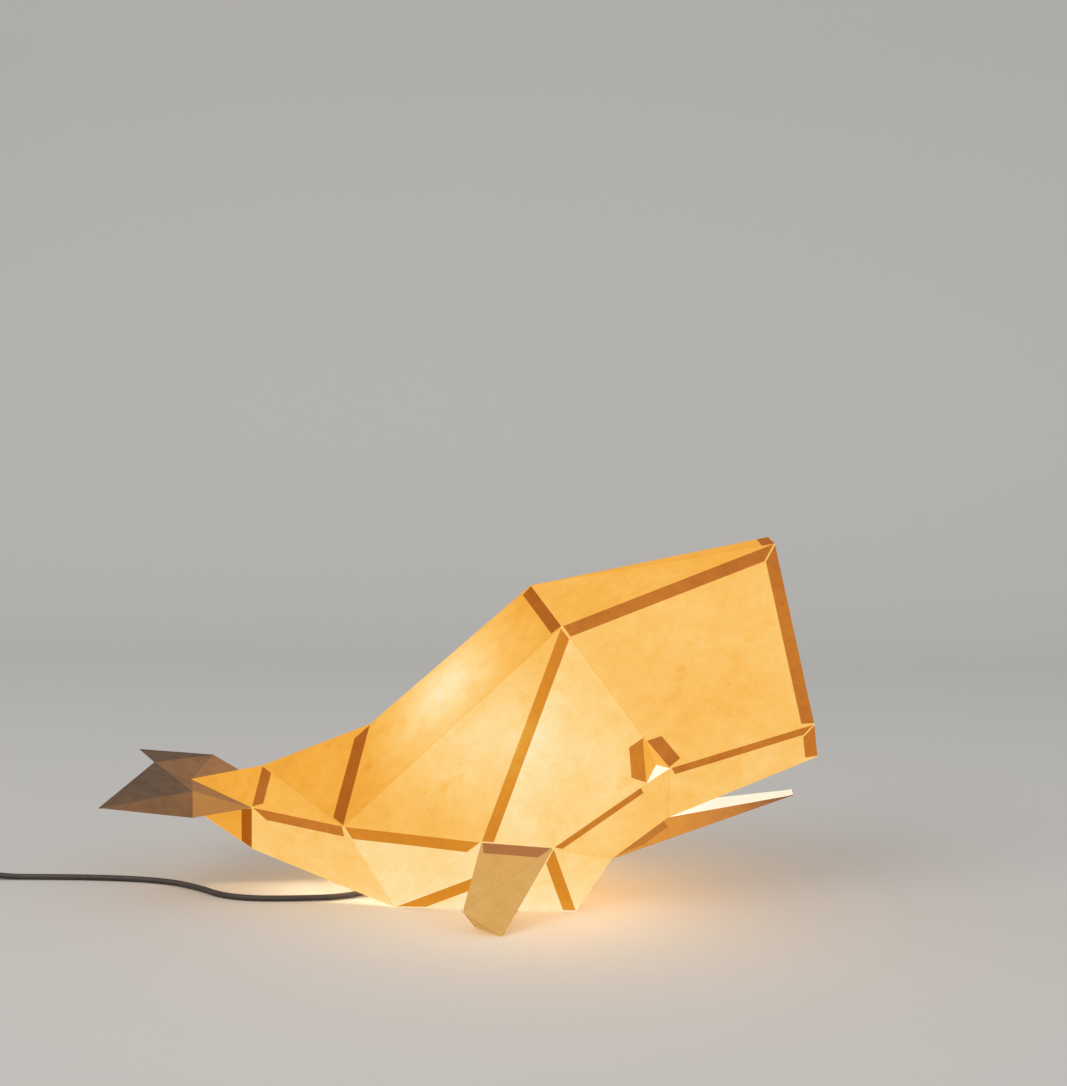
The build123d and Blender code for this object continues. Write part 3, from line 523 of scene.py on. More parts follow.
# Moulded and painted finishes: dark and light shade, least and most roughness, the scale of the
# drift between the shades, and the grain's scale and strength.
PLAIN_FINISHES = {
    "foot_enamel": ((0.012, 0.011, 0.010), (0.020, 0.018, 0.017), (0.28, 0.42), 30, 500, 0.25),
    "holder_plastic": ((0.010, 0.0095, 0.009), (0.018, 0.017, 0.016), (0.3, 0.45), 30, 1200, 0.08),
    "contact_block": ((0.60, 0.56, 0.49), (0.72, 0.69, 0.63), (0.75, 0.9), 60, 2000, 0.3),
    "dark_rubber": ((0.012, 0.012, 0.012), (0.022, 0.022, 0.022), (0.65, 0.8), 30, 1600, 0.3),
    "bulb_collar_plastic": ((0.68, 0.66, 0.62), (0.76, 0.75, 0.71), (0.35, 0.5), 25, 1400, 0.06),
    "switch_plastic": ((0.016, 0.016, 0.016), (0.026, 0.026, 0.027), (0.4, 0.55), 45, 1900, 0.35),
    "rocker_plastic": ((0.028, 0.028, 0.029), (0.040, 0.040, 0.042), (0.25, 0.4), 60, 1400, 0.1),
    "plug_plastic": ((0.014, 0.014, 0.014), (0.024, 0.024, 0.025), (0.42, 0.58), 40, 1900, 0.35),
}
finishes = {name: plain_finish(name, *look) for name, look in PLAIN_FINISHES.items()}
brass = make_brushed("brass", (0.52, 0.34, 0.12), (0.66, 0.46, 0.19), (0.25, 0.42))
steel = make_brushed("steel", (0.36, 0.36, 0.37), (0.50, 0.50, 0.51), (0.28, 0.45))

CAD_FINISHES = {
    "foot_cover": steel,
    "foot_pad": make_felt(),
    "stem": brass,
    "stem_nuts": steel,
    "holder_block": finishes["contact_block"],
    "holder_sleeve": brass,
    "holder_contact": brass,
    "switch_base": finishes["switch_plastic"],
    "switch_cover": finishes["switch_plastic"],
    "switch_pin": steel,
    "switch_rocker": finishes["rocker_plastic"],
    "plug_pins": make_plug_pins(),
}
for node, finish in CAD_FINISHES.items():
    for slot in NODES[node].material_slots:
        slot.material = finish

# -------- foot, holder and bulb
PAD_H, FOOT_TOP, FOOT_ROUND = 1.5, 13.5, 3.0
STEM_GAP_R, WELL_R, WELL_TOP, COVER_R, COVER_H = 5.05, 17.0, 10.0, 20.0, 1.5
HOLDER_R, HOLDER_BORE, CAP_LOW, CAP_TOP, HOLDER_TOP = 14.0, 12.0, 26.0, 38.0, 70.0
CAP_BEVEL, CAP_FLOOR = 3.0, 4.0
HOLDER_RIBS, HOLDER_RIB_DEPTH, RIBBED_FROM, RIBBED_TO, RIB_END = 32, 0.6, 44.0, 66.0, 0.4
COLUMNS_TO_A_RIB = 12
THREAD_R, THREAD_WAVE, THREAD_PITCH, THREAD_LOW, CAP_END = 6.6, 0.3, 2.8, 48.2, 67.0
THREAD_ROWS, THREAD_FADE = 60, 1.2
BULB_TIP, BULB_TIP_R, BULB_TIP_ROUND, GLASS_R, GLASS_LOW = 44.5, 2.5, 0.4, 3.5, 47.0
TIP_FLAT_SHARE, CAP_CONE, CAP_CONE_IN = 0.6, 1.0, 0.4
COLLAR_R, COLLAR_STEP_R, COLLAR_WIDE, COLLAR_TOP = 7.6, 11.1, 15.4, 84.5
COLLAR_NECK_TOP, COLLAR_STEP_TOP = 71.5, 73.0
STEP_ROUND_OUT, STEP_ROUND_UP = 0.4, 0.8
RIM_IN, RIM_DOWN, RIM_EDGE_IN, RIM_EDGE_DOWN = 0.2, 1.0, 0.05, 0.4
GLOBE_R, GLOBE_Z, GLOBE_WALL, POLE_GAP = 22.5, 100.0, 1.0, 0.2

foot_profile = [
    (STEM_GAP_R, FOOT_TOP),
    *arc((FOOT_R - FOOT_ROUND, FOOT_TOP - FOOT_ROUND), FOOT_ROUND, start=90, end=0, count=8),
    (FOOT_R, PAD_H),
    (COVER_R, PAD_H),
    (COVER_R, PAD_H + COVER_H),
    (WELL_R, PAD_H + COVER_H),
    (WELL_R, WELL_TOP),
    (STEM_GAP_R, WELL_TOP),
]
foot_rings = turned(foot_profile, around=128)
foot = skin("foot", foot_rings, finishes["foot_enamel"], loop=True, bevel=0.4)
stand_for(foot, "light_unit", "foot_enamel", "foot_weight")

cap_profile = [
    (STEM_GAP_R, CAP_LOW),
    (HOLDER_R - CAP_BEVEL, CAP_LOW),
    *arc((HOLDER_R - CAP_BEVEL, CAP_LOW + CAP_BEVEL), CAP_BEVEL, start=-80, end=0, count=7),
    (HOLDER_R, CAP_TOP),
    (HOLDER_BORE, CAP_TOP),
    (HOLDER_BORE, CAP_LOW + CAP_FLOOR),
    (STEM_GAP_R, CAP_LOW + CAP_FLOOR),
]
holder_plastic = finishes["holder_plastic"]
holder_cap = skin("holder_end_cap", turned(cap_profile), holder_plastic, loop=True, bevel=0.3)
stand_for(holder_cap, "light_unit", "holder_plastic", "holder_cap")

body_profile = [
    (HOLDER_R, CAP_TOP),
    (HOLDER_R, RIBBED_FROM),
    *steps((HOLDER_R, RIBBED_FROM + RIB_END), (HOLDER_R, RIBBED_TO - RIB_END), count=6),
    (HOLDER_R, RIBBED_TO - RIB_END),
    (HOLDER_R, RIBBED_TO),
    (HOLDER_R, HOLDER_TOP),
    (HOLDER_BORE, HOLDER_TOP),
    (HOLDER_BORE, CAP_TOP),
]
body_rings = turned(
    body_profile,
    around=COLUMNS_TO_A_RIB * HOLDER_RIBS,
    ribs=HOLDER_RIBS,
    rib_depth=HOLDER_RIB_DEPTH,
    ribbed=(RIBBED_FROM, RIBBED_TO),
)
holder_skirt = skin("holder_skirt", body_rings, holder_plastic, loop=True)
stand_for(holder_skirt, "light_unit", "holder_plastic", "holder_body")


def thread_rings(around=72):
    """The screw cap: a cone up from the contact, then a radius that swings by a cosine of the
    height less the share of a turn, and so climbs round as a helix."""
    angle = full_turn(around)
    height = np.linspace(THREAD_LOW, CAP_END, THREAD_ROWS)[:, None]
    phase = 2 * math.pi * (height - THREAD_LOW) / THREAD_PITCH - angle
    ease = np.clip(np.minimum(height - THREAD_LOW, CAP_END - height) / THREAD_FADE, 0, 1)
    radius = THREAD_R + THREAD_WAVE * ease * np.cos(phase)
    cone_profile = [
        (BULB_TIP_R * TIP_FLAT_SHARE, BULB_TIP),
        (BULB_TIP_R, BULB_TIP + BULB_TIP_ROUND),
        (GLASS_R, GLASS_LOW),
        (THREAD_R - CAP_CONE_IN, GLASS_LOW + CAP_CONE),
    ]
    return np.concatenate([turned(cone_profile, around), about_axis(radius, angle, height)])


bulb_thread = skin("bulb_thread", thread_rings(), make_bulb_cap_metal())
stand_for(bulb_thread, "bulb", "bulb_cap_metal", "bulb_cap")

collar_profile = [
    (COLLAR_R, CAP_END),
    (COLLAR_R, COLLAR_NECK_TOP),
    (COLLAR_STEP_R, COLLAR_STEP_TOP),
    *steps(
        (COLLAR_STEP_R + STEP_ROUND_OUT, COLLAR_STEP_TOP + STEP_ROUND_UP),
        (COLLAR_WIDE - RIM_IN, COLLAR_TOP - RIM_DOWN),
        count=6,
    ),
    (COLLAR_WIDE - RIM_EDGE_IN, COLLAR_TOP - RIM_EDGE_DOWN),
    (COLLAR_WIDE, COLLAR_TOP),
]
collar_plastic = finishes["bulb_collar_plastic"]
bulb_collar = skin("bulb_housing", turned(collar_profile), collar_plastic, bevel=0.3)
stand_for(bulb_collar, "bulb", "bulb_collar_plastic", "bulb_collar")

LOW_ANGLE = math.degrees(math.asin((COLLAR_TOP - GLOBE_Z) / GLOBE_R))
INNER_ANGLE = math.degrees(math.asin((COLLAR_TOP - GLOBE_Z) / (GLOBE_R - GLOBE_WALL)))
globe_profile = [
    *arc((0, GLOBE_Z), GLOBE_R, LOW_ANGLE, 90 - POLE_GAP, count=40),
    *arc((0, GLOBE_Z), GLOBE_R - GLOBE_WALL, 90 - POLE_GAP, INNER_ANGLE, count=40),
]
bulb_globe = skin("opal_globe", turned(globe_profile), make_opal_glass(), loop=True)
bulb_globe.visible_shadow = False
stand_for(bulb_globe, "bulb", "opal_glass", "bulb_globe")

# -------- cord grip, tie and plug
GRIP_R, GRIP_IN, GRIP_ROWS, GRIP_TAPER = 5.45, 8.0, 72, math.tan(math.radians(4))
GRIP_GROOVES, GROOVE_DEPTH, GRIP_EDGE, GRIP_EDGE_DEPTH = 4, 0.75, 0.8, 0.5


def grip_rings(around=48):
    """A taper along -X whose part outside the foot is grooved: the radius falls in a straight
    line, less a raised cosine of the distance."""
    length = GRIP_IN + GRIP_OUT
    distance = np.linspace(0, 1, GRIP_ROWS)[:, None] * length
    outside = np.clip((distance - GRIP_IN) / GRIP_OUT, 0, 1)
    groove = GROOVE_DEPTH * swing(2 * math.pi * GRIP_GROOVES * outside)
    edge = GRIP_EDGE_DEPTH * np.clip((distance - length + GRIP_EDGE) / GRIP_EDGE, 0, 1) ** 2
    radius = GRIP_R - distance * GRIP_TAPER - groove - edge
    angle = full_turn(around)
    x = -FOOT_R + GRIP_IN - distance + 0 * angle
    return np.stack([x, radius * np.cos(angle), GRIP_Z + radius * np.sin(angle)], axis=2)


cord_grip = skin("cord_strain_relief", grip_rings(), finishes["dark_rubber"])
stand_for(cord_grip, "light_unit", "dark_rubber", "cord_grip")

STRAP_WALL, STRAP_ROWS, STRAP_SQUARENESS = 0.5, 96, 5


def strap_rings():
    """A flat strap round the coil's turns: a superellipse in the upright plane across them, with
    a thin oblong section carried along it."""
    low, high = (np.array(corner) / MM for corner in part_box("coil_tie"))
    middle, reach = (low + high) / 2, (high - low) / 2
    across, up = superellipse(full_turn(STRAP_ROWS)[:, None], 2 / STRAP_SQUARENESS)
    side = np.array([-1, 1, 1, -1]) * reach[1]
    inset = np.array([0, 0, 1, 1]) * STRAP_WALL
    x = middle[0] + across * (reach[0] - inset)
    z = middle[2] + up * (reach[2] - inset)
    return np.stack([x, middle[1] + side + 0 * x, z], axis=2)


coil_strap = skin("coil_strap", strap_rings(), make_strap(), loop=True, bevel=0.12)
stand_for(coil_strap, "light_unit", "tie_plastic", "coil_tie")

# Where the plug's boot, swell, notches and front lie is told in shares of its length.
PLUG_L, PLUG_HALF_W, PLUG_HALF_H, PLUG_ROWS, PLUG_SQUARENESS = 36.0, 13.0, 6.85, 90, 2.2
BOOT_R, BOOT_SHARE, BOOT_GROOVES, BOOT_GROOVE_DEPTH = 4.6, 0.3, 4, 0.6
SWELL_FROM, SWELL_OVER = 0.8 * BOOT_SHARE, 0.3
GRIP_NOTCHES, NOTCH_FROM, NOTCH_TO, NOTCH_DEPTH = 4, 0.62, 0.9, 0.7
FRONT_FROM, FRONT_OVER, FRONT_ROUND = 0.97, 0.03, 1.0


def plug_rings(around=72):
    """Superellipses along -Y: a grooved round boot that swells smoothly into a flat body with
    finger notches on both sides and a rounded front edge."""
    share = np.linspace(0, 1, PLUG_ROWS)[:, None]
    swell = smooth(np.clip((share - SWELL_FROM) / SWELL_OVER, 0, 1))
    boot = np.clip(share / BOOT_SHARE, 0, 1)
    groove = BOOT_GROOVE_DEPTH * swing(2 * math.pi * BOOT_GROOVES * boot) * (1 - swell)
    held = np.clip((share - NOTCH_FROM) / (NOTCH_TO - NOTCH_FROM), 0, 1)
    notch = NOTCH_DEPTH * swing(2 * math.pi * GRIP_NOTCHES * held)
    front = FRONT_ROUND * np.clip((share - FRONT_FROM) / FRONT_OVER, 0, 1) ** 2
    half_width = BOOT_R - groove + (PLUG_HALF_W - BOOT_R) * swell - notch - front
    half_height = BOOT_R - groove + (PLUG_HALF_H - BOOT_R) * swell - front
    angle = full_turn(around)
    across, up = superellipse(angle, 2 / (2 + PLUG_SQUARENESS * swell))
    back_x, back_y, back_z = PLUG_ROUTE[-1]
    y = back_y - share * PLUG_L + 0 * angle
    return np.stack([back_x + half_width * across, y, back_z + half_height * up], axis=2)


plug = skin("plug", plug_rings(), finishes["plug_plastic"])
stand_for(plug, "light_unit", "plug_plastic", "plug_body")

# -------- cords in place
lamp_cord = cord_curve("lamp_cord", LAMP_ROUTE)
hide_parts("cord_lamp")

plug_cord = cord_curve("plug_cord", np.concatenate([LINK_ROUTE, coil_points(), PLUG_ROUTE]))
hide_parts("cord_link", "cord_coil", "cord_plug")

# -------- paper
PAPER, GLUE = 0.4, 0.03
TAB, TAB_INSET, TAB_INSET_MAX, TAB_END, SQUARE_END = 11.0, 1.2, 6.0, 5.0, 0.15
STEEPEST_MITRE = math.radians(80)
GRID_STEP = 5.0
WARP, WARP_MARGIN = 0.9, 26.0        # the card's bulge, and how far from the folds it is full
MOST_TABS = 3                        # behind one field
WELD = 2e-5

# Corners of the shade as along, half width and height, in millimetres.
CORNERS = {
    "stern_top": (-263.4, 0.0, 103.4),
    "stern_low": (-263.4, 0.0, 76.1),
    "tail_ridge": (-193.8, 0.0, 118.1),
    "back_low": (-91.5, 0.0, 158.8),
    "crown": (58.9, 0.0, 289.7),
    "tail_keel": (-205.5, 0.0, 38.2),
    "neck": (92.8, 69.2, 260.0),
    "brow": (277.4, 50.8, 332.6),
    "snout": (312.9, 53.7, 174.9),
    "lip": (318.1, 28.3, 141.4),
    "eye_top": (163.6, 66.8, 164.9),
    "eye_front": (187.9, 65.7, 136.1),
    "eye_rear": (167.1, 66.8, 122.1),
    "eye_pit": (175.3, 52.0, 136.1),
    "hip": (-99.8, 81.4, 81.6),
    "tail_side": (-194.4, 37.4, 86.3),
    "fin_rear": (22.2, 71.1, 67.6),
    "fin_front": (85.7, 69.1, 63.7),
    "rim_rear": (-60.4, 46.9, 0.0),
    "rim_front": (104.2, 44.4, 0.0),
    "mouth": (185.7, 29.1, 83.6),
    "throat": (135.4, 27.9, 44.3),
    "jaw_tip": (298.5, 11.5, 102.6),
    "fin_tip": (46.4, 122.2, 0.0),
    "fin_heel": (19.4, 97.4, 0.0),
    "fin_elbow": (13.3, 127.5, 22.3),
    "fin_inside": (19.9, 65.3, 51.8),
    "knee_top": (-242.4, 61.0, 106.0),
    "knee_low": (-242.7, 61.0, 81.3),
    "fluke_tip": (-312.9, 106.0, 99.4),
    "fluke_notch": (-298.6, 0.0, 119.0),
}
FAR_FLUKE = {
    "knee_top": (-260.7, 61.0, 114.7),
    "knee_low": (-259.0, 61.0, 91.0),
    "fluke_tip": (-349.0, 100.0, 111.0),
}
# Fields of each sheet, counter-clockwise as seen from outside on the near side.
SIDE_SHEETS = {
    "head_side": [
        "neck eye_top eye_front snout brow",
        "neck fin_rear fin_front eye_rear eye_top",
    ],
    "back_side": ["back_low hip neck crown", "hip fin_rear neck"],
    "tail_upper": ["tail_ridge hip back_low", "tail_ridge tail_side hip"],
    "stern_upper": ["stern_top tail_side tail_ridge"],
    "stern_lower": ["stern_low tail_keel tail_side", "stern_top stern_low tail_side"],
    "belly_rear": [
        "tail_side tail_keel rim_rear hip",
        "hip rim_rear fin_rear",
        "fin_rear rim_rear fin_front",
    ],
    "belly_front": ["rim_rear rim_front fin_front"],
    "cheek": [
        "fin_front rim_front throat",
        "fin_front throat mouth eye_front eye_rear",
        "eye_front mouth lip snout",
    ],
    "eye": ["eye_top eye_rear eye_pit", "eye_top eye_pit eye_front"],
    "fin": [
        "fin_rear fin_elbow fin_front",
        "fin_elbow fin_tip fin_front",
        "fin_rear fin_inside fin_elbow",
        "fin_inside fin_heel fin_elbow",
        "fin_inside fin_tip fin_heel",
        "fin_inside fin_front fin_tip",
    ],
    "fluke": [
        "tail_side knee_top knee_low",
        "knee_top fluke_tip knee_low",
        "tail_side stern_top knee_top",
        "stern_top fluke_notch knee_top",
        "knee_top fluke_notch fluke_tip",
    ],
}
CROSS_SHEETS = {
    "head_top": ["neck- brow- crown", "crown brow- brow+", "crown brow+ neck+"],
    "forehead": ["brow- snout- snout+ brow+", "snout- lip- lip+ snout+"],
    "palate": ["mouth- mouth+ lip+ lip-"],
    "chin": ["throat- rim_front- rim_front+ throat+"],
    "jaw": [
        "mouth- throat- jaw_tip-",
        "throat- throat+ jaw_tip+ jaw_tip-",
        "jaw_tip+ throat+ mouth+",
    ],
}
# Seams: their two corners, the sheet that carries the tab and the sheet that lies over it.
SIDE_SEAMS = [
    "neck brow head_top head_side",
    "crown neck head_top back_side",
    "brow snout forehead head_side",
    "snout lip forehead cheek",
    "neck fin_rear back_side head_side",
    "back_low hip back_side tail_upper",
    "tail_ridge tail_side stern_upper tail_upper",
    "tail_side tail_keel belly_rear stern_lower",
    "tail_side hip tail_upper belly_rear",
    "hip fin_rear back_side belly_rear",
    "fin_rear fin_front head_side fin",
    "rim_rear fin_front belly_rear belly_front",
    "fin_front rim_front cheek belly_front",
    "fin_front eye_rear head_side cheek",
    "eye_front snout head_side cheek",
    "eye_top eye_rear eye head_side",
    "eye_top eye_front eye head_side",
    "mouth throat cheek jaw",
    "throat rim_front cheek chin",
    "mouth lip cheek palate",
    "tail_side stern_top stern_upper stern_lower",
]
CROSS_SEAMS = [
    "brow- brow+ forehead head_top",
    "throat- throat+ jaw chin",
    "lip- lip+ forehead palate",
    "crown back_low back_side_right back_side_left",
    "back_low tail_ridge tail_upper_right tail_upper_left",
    "tail_ridge stern_top stern_upper_right stern_upper_left",
    "stern_top stern_low stern_lower_right stern_lower_left",
    "stern_low tail_keel stern_lower_right stern_lower_left",
]
SIDE_NAMES = {"-": "right", "+": "left"}
# Tabs that are wider or narrower than most, and how far the tab's end at the first corner leans in
# per millimetre of width, where that differs from what tab_end works out.
TAB_WIDTHS = {
    "back_low hip": 12.5,
    "tail_side hip": 12.5,
    "hip fin_rear": 12.0,
    "neck fin_rear": 10.0,
    "eye_front snout": 9.0,
    "fin_front eye_rear": 8.0,
    "eye_top eye_rear": 12.5,
    "eye_top eye_front": 12.5,
}
END_LEANS = {
    "back_low hip": 1.1,
    "tail_side hip": 0.9,
    "eye_top eye_rear": 0.6,
    "eye_rear eye_top": 0.4,
    "eye_top eye_front": 0.4,
    "eye_front eye_top": 0.0,
}

# How bright each field of a sheet glows, set from the photo where it shows the field: its own
# level, then the weight of what it gets from the glow's centre. That centre was fitted to the
# photo and lies above the modelled bulb.
GLOW = {
    "head_side": ((0.56, 0.12), (0.61, 0.19)),
    "back_side": ((0.41, 0.16), (0.49, 0.13)),
    "tail_upper": ((0.445, 0.0), (0.485, 0.0)),
    "stern_upper": ((0.44, 0.0),),
    "stern_lower": ((0.42, 0.0), (0.40, 0.0)),
    "belly_rear": ((0.54, 0.2), (0.66, 0.1), (0.66, 0.1)),
    "belly_front": ((0.64, 0.08),),
    "cheek": ((0.60, 0.1), (0.55, 0.12), (0.585, 0.1)),
    "eye": ((0.47, 0.0), (0.50, 0.0)),
    # on the fins and flukes the levels differ by face: painted light and shade by how each face
    # lies
    "fin": ((0.37, 0.0), (0.385, 0.0), (0.30, 0.0), (0.26, 0.0), (0.26, 0.0), (0.30, 0.0)),
    "fluke": ((0.20, 0.0), (0.115, 0.0), (0.15, 0.0), (0.12, 0.0), (0.08, 0.0)),
    "head_top": ((0.49, 0.05), (0.44, 0.0), (0.49, 0.05)),
    "forehead": ((0.48, 0.05), (0.50, 0.05)),
    "palate": ((0.62, 0.0),),
    "chin": ((0.62, 0.0),),
    "jaw": ((0.34, 0.0), (0.32, 0.0), (0.34, 0.0)),
}
GLOW_CENTRE, GLOW_REACH = np.array([20.0, 0.0, 160.0]), 100.0
FLOOR_GLOW, FLOOR_REACH = 0.16, 22.0
JAW_FADE_FROM, JAW_FADE_OVER, JAW_FADED = 200.0, 130.0, 0.35
FAINT_TABS = ("jaw",)                # sheets that a tab behind them dims only half as much
# sheets that take the paper's shaded copies, with dimmer, browner painted light
LIMBS = ("fin", "fluke")
# Corners where the sheets leave a pinhole, with its size.
PINHOLES = {
    "tail_side": 0.9, "neck": 0.9, "fin_front": 0.9, "brow": 0.8, "throat": 2.4, "snout": 0.6,
}
FREE_EDGE, SEAM_EDGE, FOLD_EDGE = 2.0, 1.0, 0.0


def plain(corner):
    """A corner's name without its sign."""
    return corner.rstrip("+-")


def point(corner):
    """Where a corner is. Its sign says the near side, -, or the far side, +."""
    name, is_far = plain(corner), corner.endswith("+")
    along, half_width, height = (FAR_FLUKE if is_far and name in FAR_FLUKE else CORNERS)[name]
    return np.array([along, half_width if is_far else -half_width, height])


def sided(name, side):
    """A corner's name with the side's sign, unless it lies on the middle line."""
    return name if CORNERS[name][1] == 0 else name + side


def all_sheets():
    """Every sheet's fields as lists of corner names, by the sheet's name."""
    sheets = {kind: [field.split() for field in fields] for kind, fields in CROSS_SHEETS.items()}
    for side, side_name in SIDE_NAMES.items():
        for kind, fields in SIDE_SHEETS.items():
            named = [[sided(name, side) for name in field.split()] for field in fields]
            sheets[f"{kind}_{side_name}"] = named if side == "-" else [f[::-1] for f in named]
    return sheets


def all_seams(sheets):
    """The sheet that carries the tab and the one over it, by the seam's two corners."""
    seams = {}
    for seam in CROSS_SEAMS:
        start, end, *names = seam.split()
        seams[frozenset((start, end))] = names
    for side, side_name in SIDE_NAMES.items():
        for seam in SIDE_SEAMS:
            start, end, *names = seam.split()
            pair = frozenset((sided(start, side), sided(end, side)))
            seams[pair] = [n if n in sheets else f"{n}_{side_name}" for n in names]
    return seams


SHEETS = all_sheets()
SEAMS = all_seams(SHEETS)


def lies_over_tab(sheet, corner, other):
    """Whether a sheet lies over a glue tab along the line between two corners."""
    _, over = SEAMS.get(frozenset((corner, other)), ("", ""))
    return over == sheet


def unit(vector):
    return vector / np.linalg.norm(vector)


def normal_of(points):
    """Unit normal of a counter-clockwise polygon, as the sum of its corners' cross products."""
    arms = points - points.mean(axis=0)
    return unit(np.cross(arms, np.roll(arms, -1, axis=0)).sum(axis=0))


def inward_lines(points, normal):
    """For each edge of a polygon, the plane through it that faces the middle: normals, offsets."""
    normals = np.cross(normal, np.roll(points, -1, axis=0) - points)
    normals /= np.linalg.norm(normals, axis=1)[:, None]
    return normals, (normals * points).sum(axis=1)


def tab_end(sheet, corner, far_corner, beyond):
    """Where a tab's base ends near a corner, and how far its end leans in per millimetre of
    width: halfway to the next tab behind the same field, or else along the field's next edge."""
    here = point(corner)
    along = unit(point(far_corner) - here)
    opening = math.acos(np.clip(along @ unit(point(beyond) - here), -1, 1))
    base = here + along * min(TAB_INSET / math.sin(opening), TAB_INSET_MAX)
    names = f"{plain(corner)} {plain(far_corner)}"
    if names in END_LEANS:
        return base, END_LEANS[names]
    if lies_over_tab(sheet, corner, beyond):
        return base, 1 / math.tan(min(opening / 2, STEEPEST_MITRE))
    return base, max(1 / math.tan(opening), SQUARE_END)


def tab_width(start, end):
    names = {plain(start), plain(end)}
    return next((width for pair, width in TAB_WIDTHS.items() if set(pair.split()) == names), TAB)


def tab_corners(sheet, field, start, end):
    """A glue tab behind a field: its two base corners along the seam, then its two inner ones.
    Returns them with the field's normal."""
    normal = normal_of(np.array([point(corner) for corner in field]))
    base_a, lean_a = tab_end(sheet, start, end, field[field.index(start) - 1])
    base_b, lean_b = tab_end(sheet, end, start, field[(field.index(end) + 1) % len(field)])
    length = np.linalg.norm(base_b - base_a)
    along = (base_b - base_a) / length
    inward = np.cross(normal, along)
    width = min(tab_width(start, end), (length - TAB_END) / (lean_a + lean_b))
    inner_a = base_a + along * (width * lean_a) + inward * width
    inner_b = base_b - along * (width * lean_b) + inward * width
    return np.array([base_a, base_b, inner_b, inner_a]), normal


def bulge(points):
    """A slow, even wobble from -1 to 1: the mean of three plane waves in the object's space."""
    waves = np.array([[0.031, 0.042, 0.022], [-0.023, 0.035, 0.047], [0.05, -0.021, 0.019]])
    return np.sin(points @ waves.T + [0.4, 2.1, 4.0]).mean(axis=1)


def outline_of(points):
    """Points along a polygon's outline, about a grid step apart, and the edge that each is on."""
    ends = np.roll(points, -1, axis=0)
    counts = np.maximum(1, np.round(np.linalg.norm(ends - points, axis=1) / GRID_STEP)).astype(int)
    outline = np.concatenate([
        start + (end - start) * (np.arange(count) / count)[:, None]
        for start, end, count in zip(points, ends, counts)
    ])
    return outline, np.repeat(np.arange(len(points)), counts)


def ring_faces(around, rings):
    """Triangles from vertex 0 to the first ring, and quads between the rings that follow."""
    here = np.arange(around)
    following = (here + 1) % around
    fan = np.stack([np.zeros(around, int), 1 + here, 1 + following], axis=1)
    ring = (1 + np.arange(rings - 1) * around)[:, None]
    outer = ring + around
    quads = np.stack([ring + here, outer + here, outer + following, ring + following], axis=2)
    return fan, quads.reshape(-1, 4)


def patch(points, glow, tabs=(), kinds=None, warp=WARP, faint=False):
    """A flat polygon as rings round its middle: u runs along the outline and v from the middle
    out to it, and away from the outline the card bulges by a slow wobble. Returns the vertices,
    the faces, and the values at each face's corners that the paper's material reads."""
    normal = normal_of(points)
    middle = points.mean(axis=0)
    outline, edge_of = outline_of(points)
    line_normals, offsets = inward_lines(points, normal)
    rings = max(2, int(round((line_normals @ middle - offsets).min() / GRID_STEP)))
    shares = np.linspace(0, 1, rings + 1)[1:]
    verts = middle + shares[:, None, None] * (outline - middle)
    verts = np.concatenate([middle[None], verts.reshape(-1, 3)])
    gaps = verts @ line_normals.T - offsets
    fan, quads = ring_faces(len(outline), rings)
    loops = np.concatenate([fan.ravel(), quads.ravel()])
    quad_edges = np.tile(edge_of, rings - 1)
    loop_edge = np.concatenate([np.repeat(edge_of, 3), np.repeat(quad_edges, 4)])
    kinds = np.zeros(len(points)) if kinds is None else np.array(kinds, float)
    rim = [gaps[loops, loop_edge], kinds[loop_edge], glow(verts)[loops]]
    values = {"rim": np.stack(rim, axis=1)}
    for number in range(MOST_TABS):
        inside = np.full((len(loops), 3), -1.0)
        if number < len(tabs):
            tab_normals, tab_offsets = inward_lines(tabs[number], normal)
            inside = (verts @ tab_normals[1:].T - tab_offsets[1:])[loops]
            inside = np.minimum(inside, 0) if faint else inside
        values[f"tab_{number}"] = inside
    ease = smooth(np.clip(gaps.min(axis=1) / WARP_MARGIN, 0, 1))
    verts = verts + normal * (warp * ease * bulge(verts))[:, None]
    return verts, fan.tolist() + quads.tolist(), values


def with_pinholes(field):
    """A field's corner points, each pinhole corner cut off, and the corners of every edge."""
    points, edges = [], []
    for number, corner in enumerate(field):
        here = point(corner)
        following = field[(number + 1) % len(field)]
        size = PINHOLES.get(plain(corner))
        if size:
            points.append(here + unit(point(field[number - 1]) - here) * size)
            edges.append(None)
            points.append(here + unit(point(following) - here) * size)
        else:
            points.append(here)
        edges.append((corner, following))
    return np.array(points), edges


def glow_over(kind, level, from_centre, normal):
    """A field's glow by place: its level, then what it gets from the glow's centre by the slant
    of the rays and the inverse square of the distance, and on fields that get any, what comes
    back from the floor, falling off with height. It fades along the jaw."""
    def glow(points):
        ray = points - GLOW_CENTRE
        reach = np.linalg.norm(ray, axis=1)
        slant = np.clip(ray @ normal / reach, 0, 1)
        light = level + from_centre * slant * (GLOW_REACH / reach) ** 2
        if from_centre:
            light = light + FLOOR_GLOW * np.exp(-points[:, 2] / FLOOR_REACH)
        if kind == "jaw":
            past = (points[:, 0] - JAW_FADE_FROM) / JAW_FADE_OVER
            light = light * np.clip(1 - past, JAW_FADED, 1)
        return light
    return glow


def edge_kind(edge, field, fields):
    """Whether an edge of a field is cut free, glued to another sheet or folded."""
    if edge is None:
        return FREE_EDGE
    if any(other is not field and set(edge) <= set(other) for other in fields):
        return FOLD_EDGE
    return SEAM_EDGE if frozenset(edge) in SEAMS else FREE_EDGE


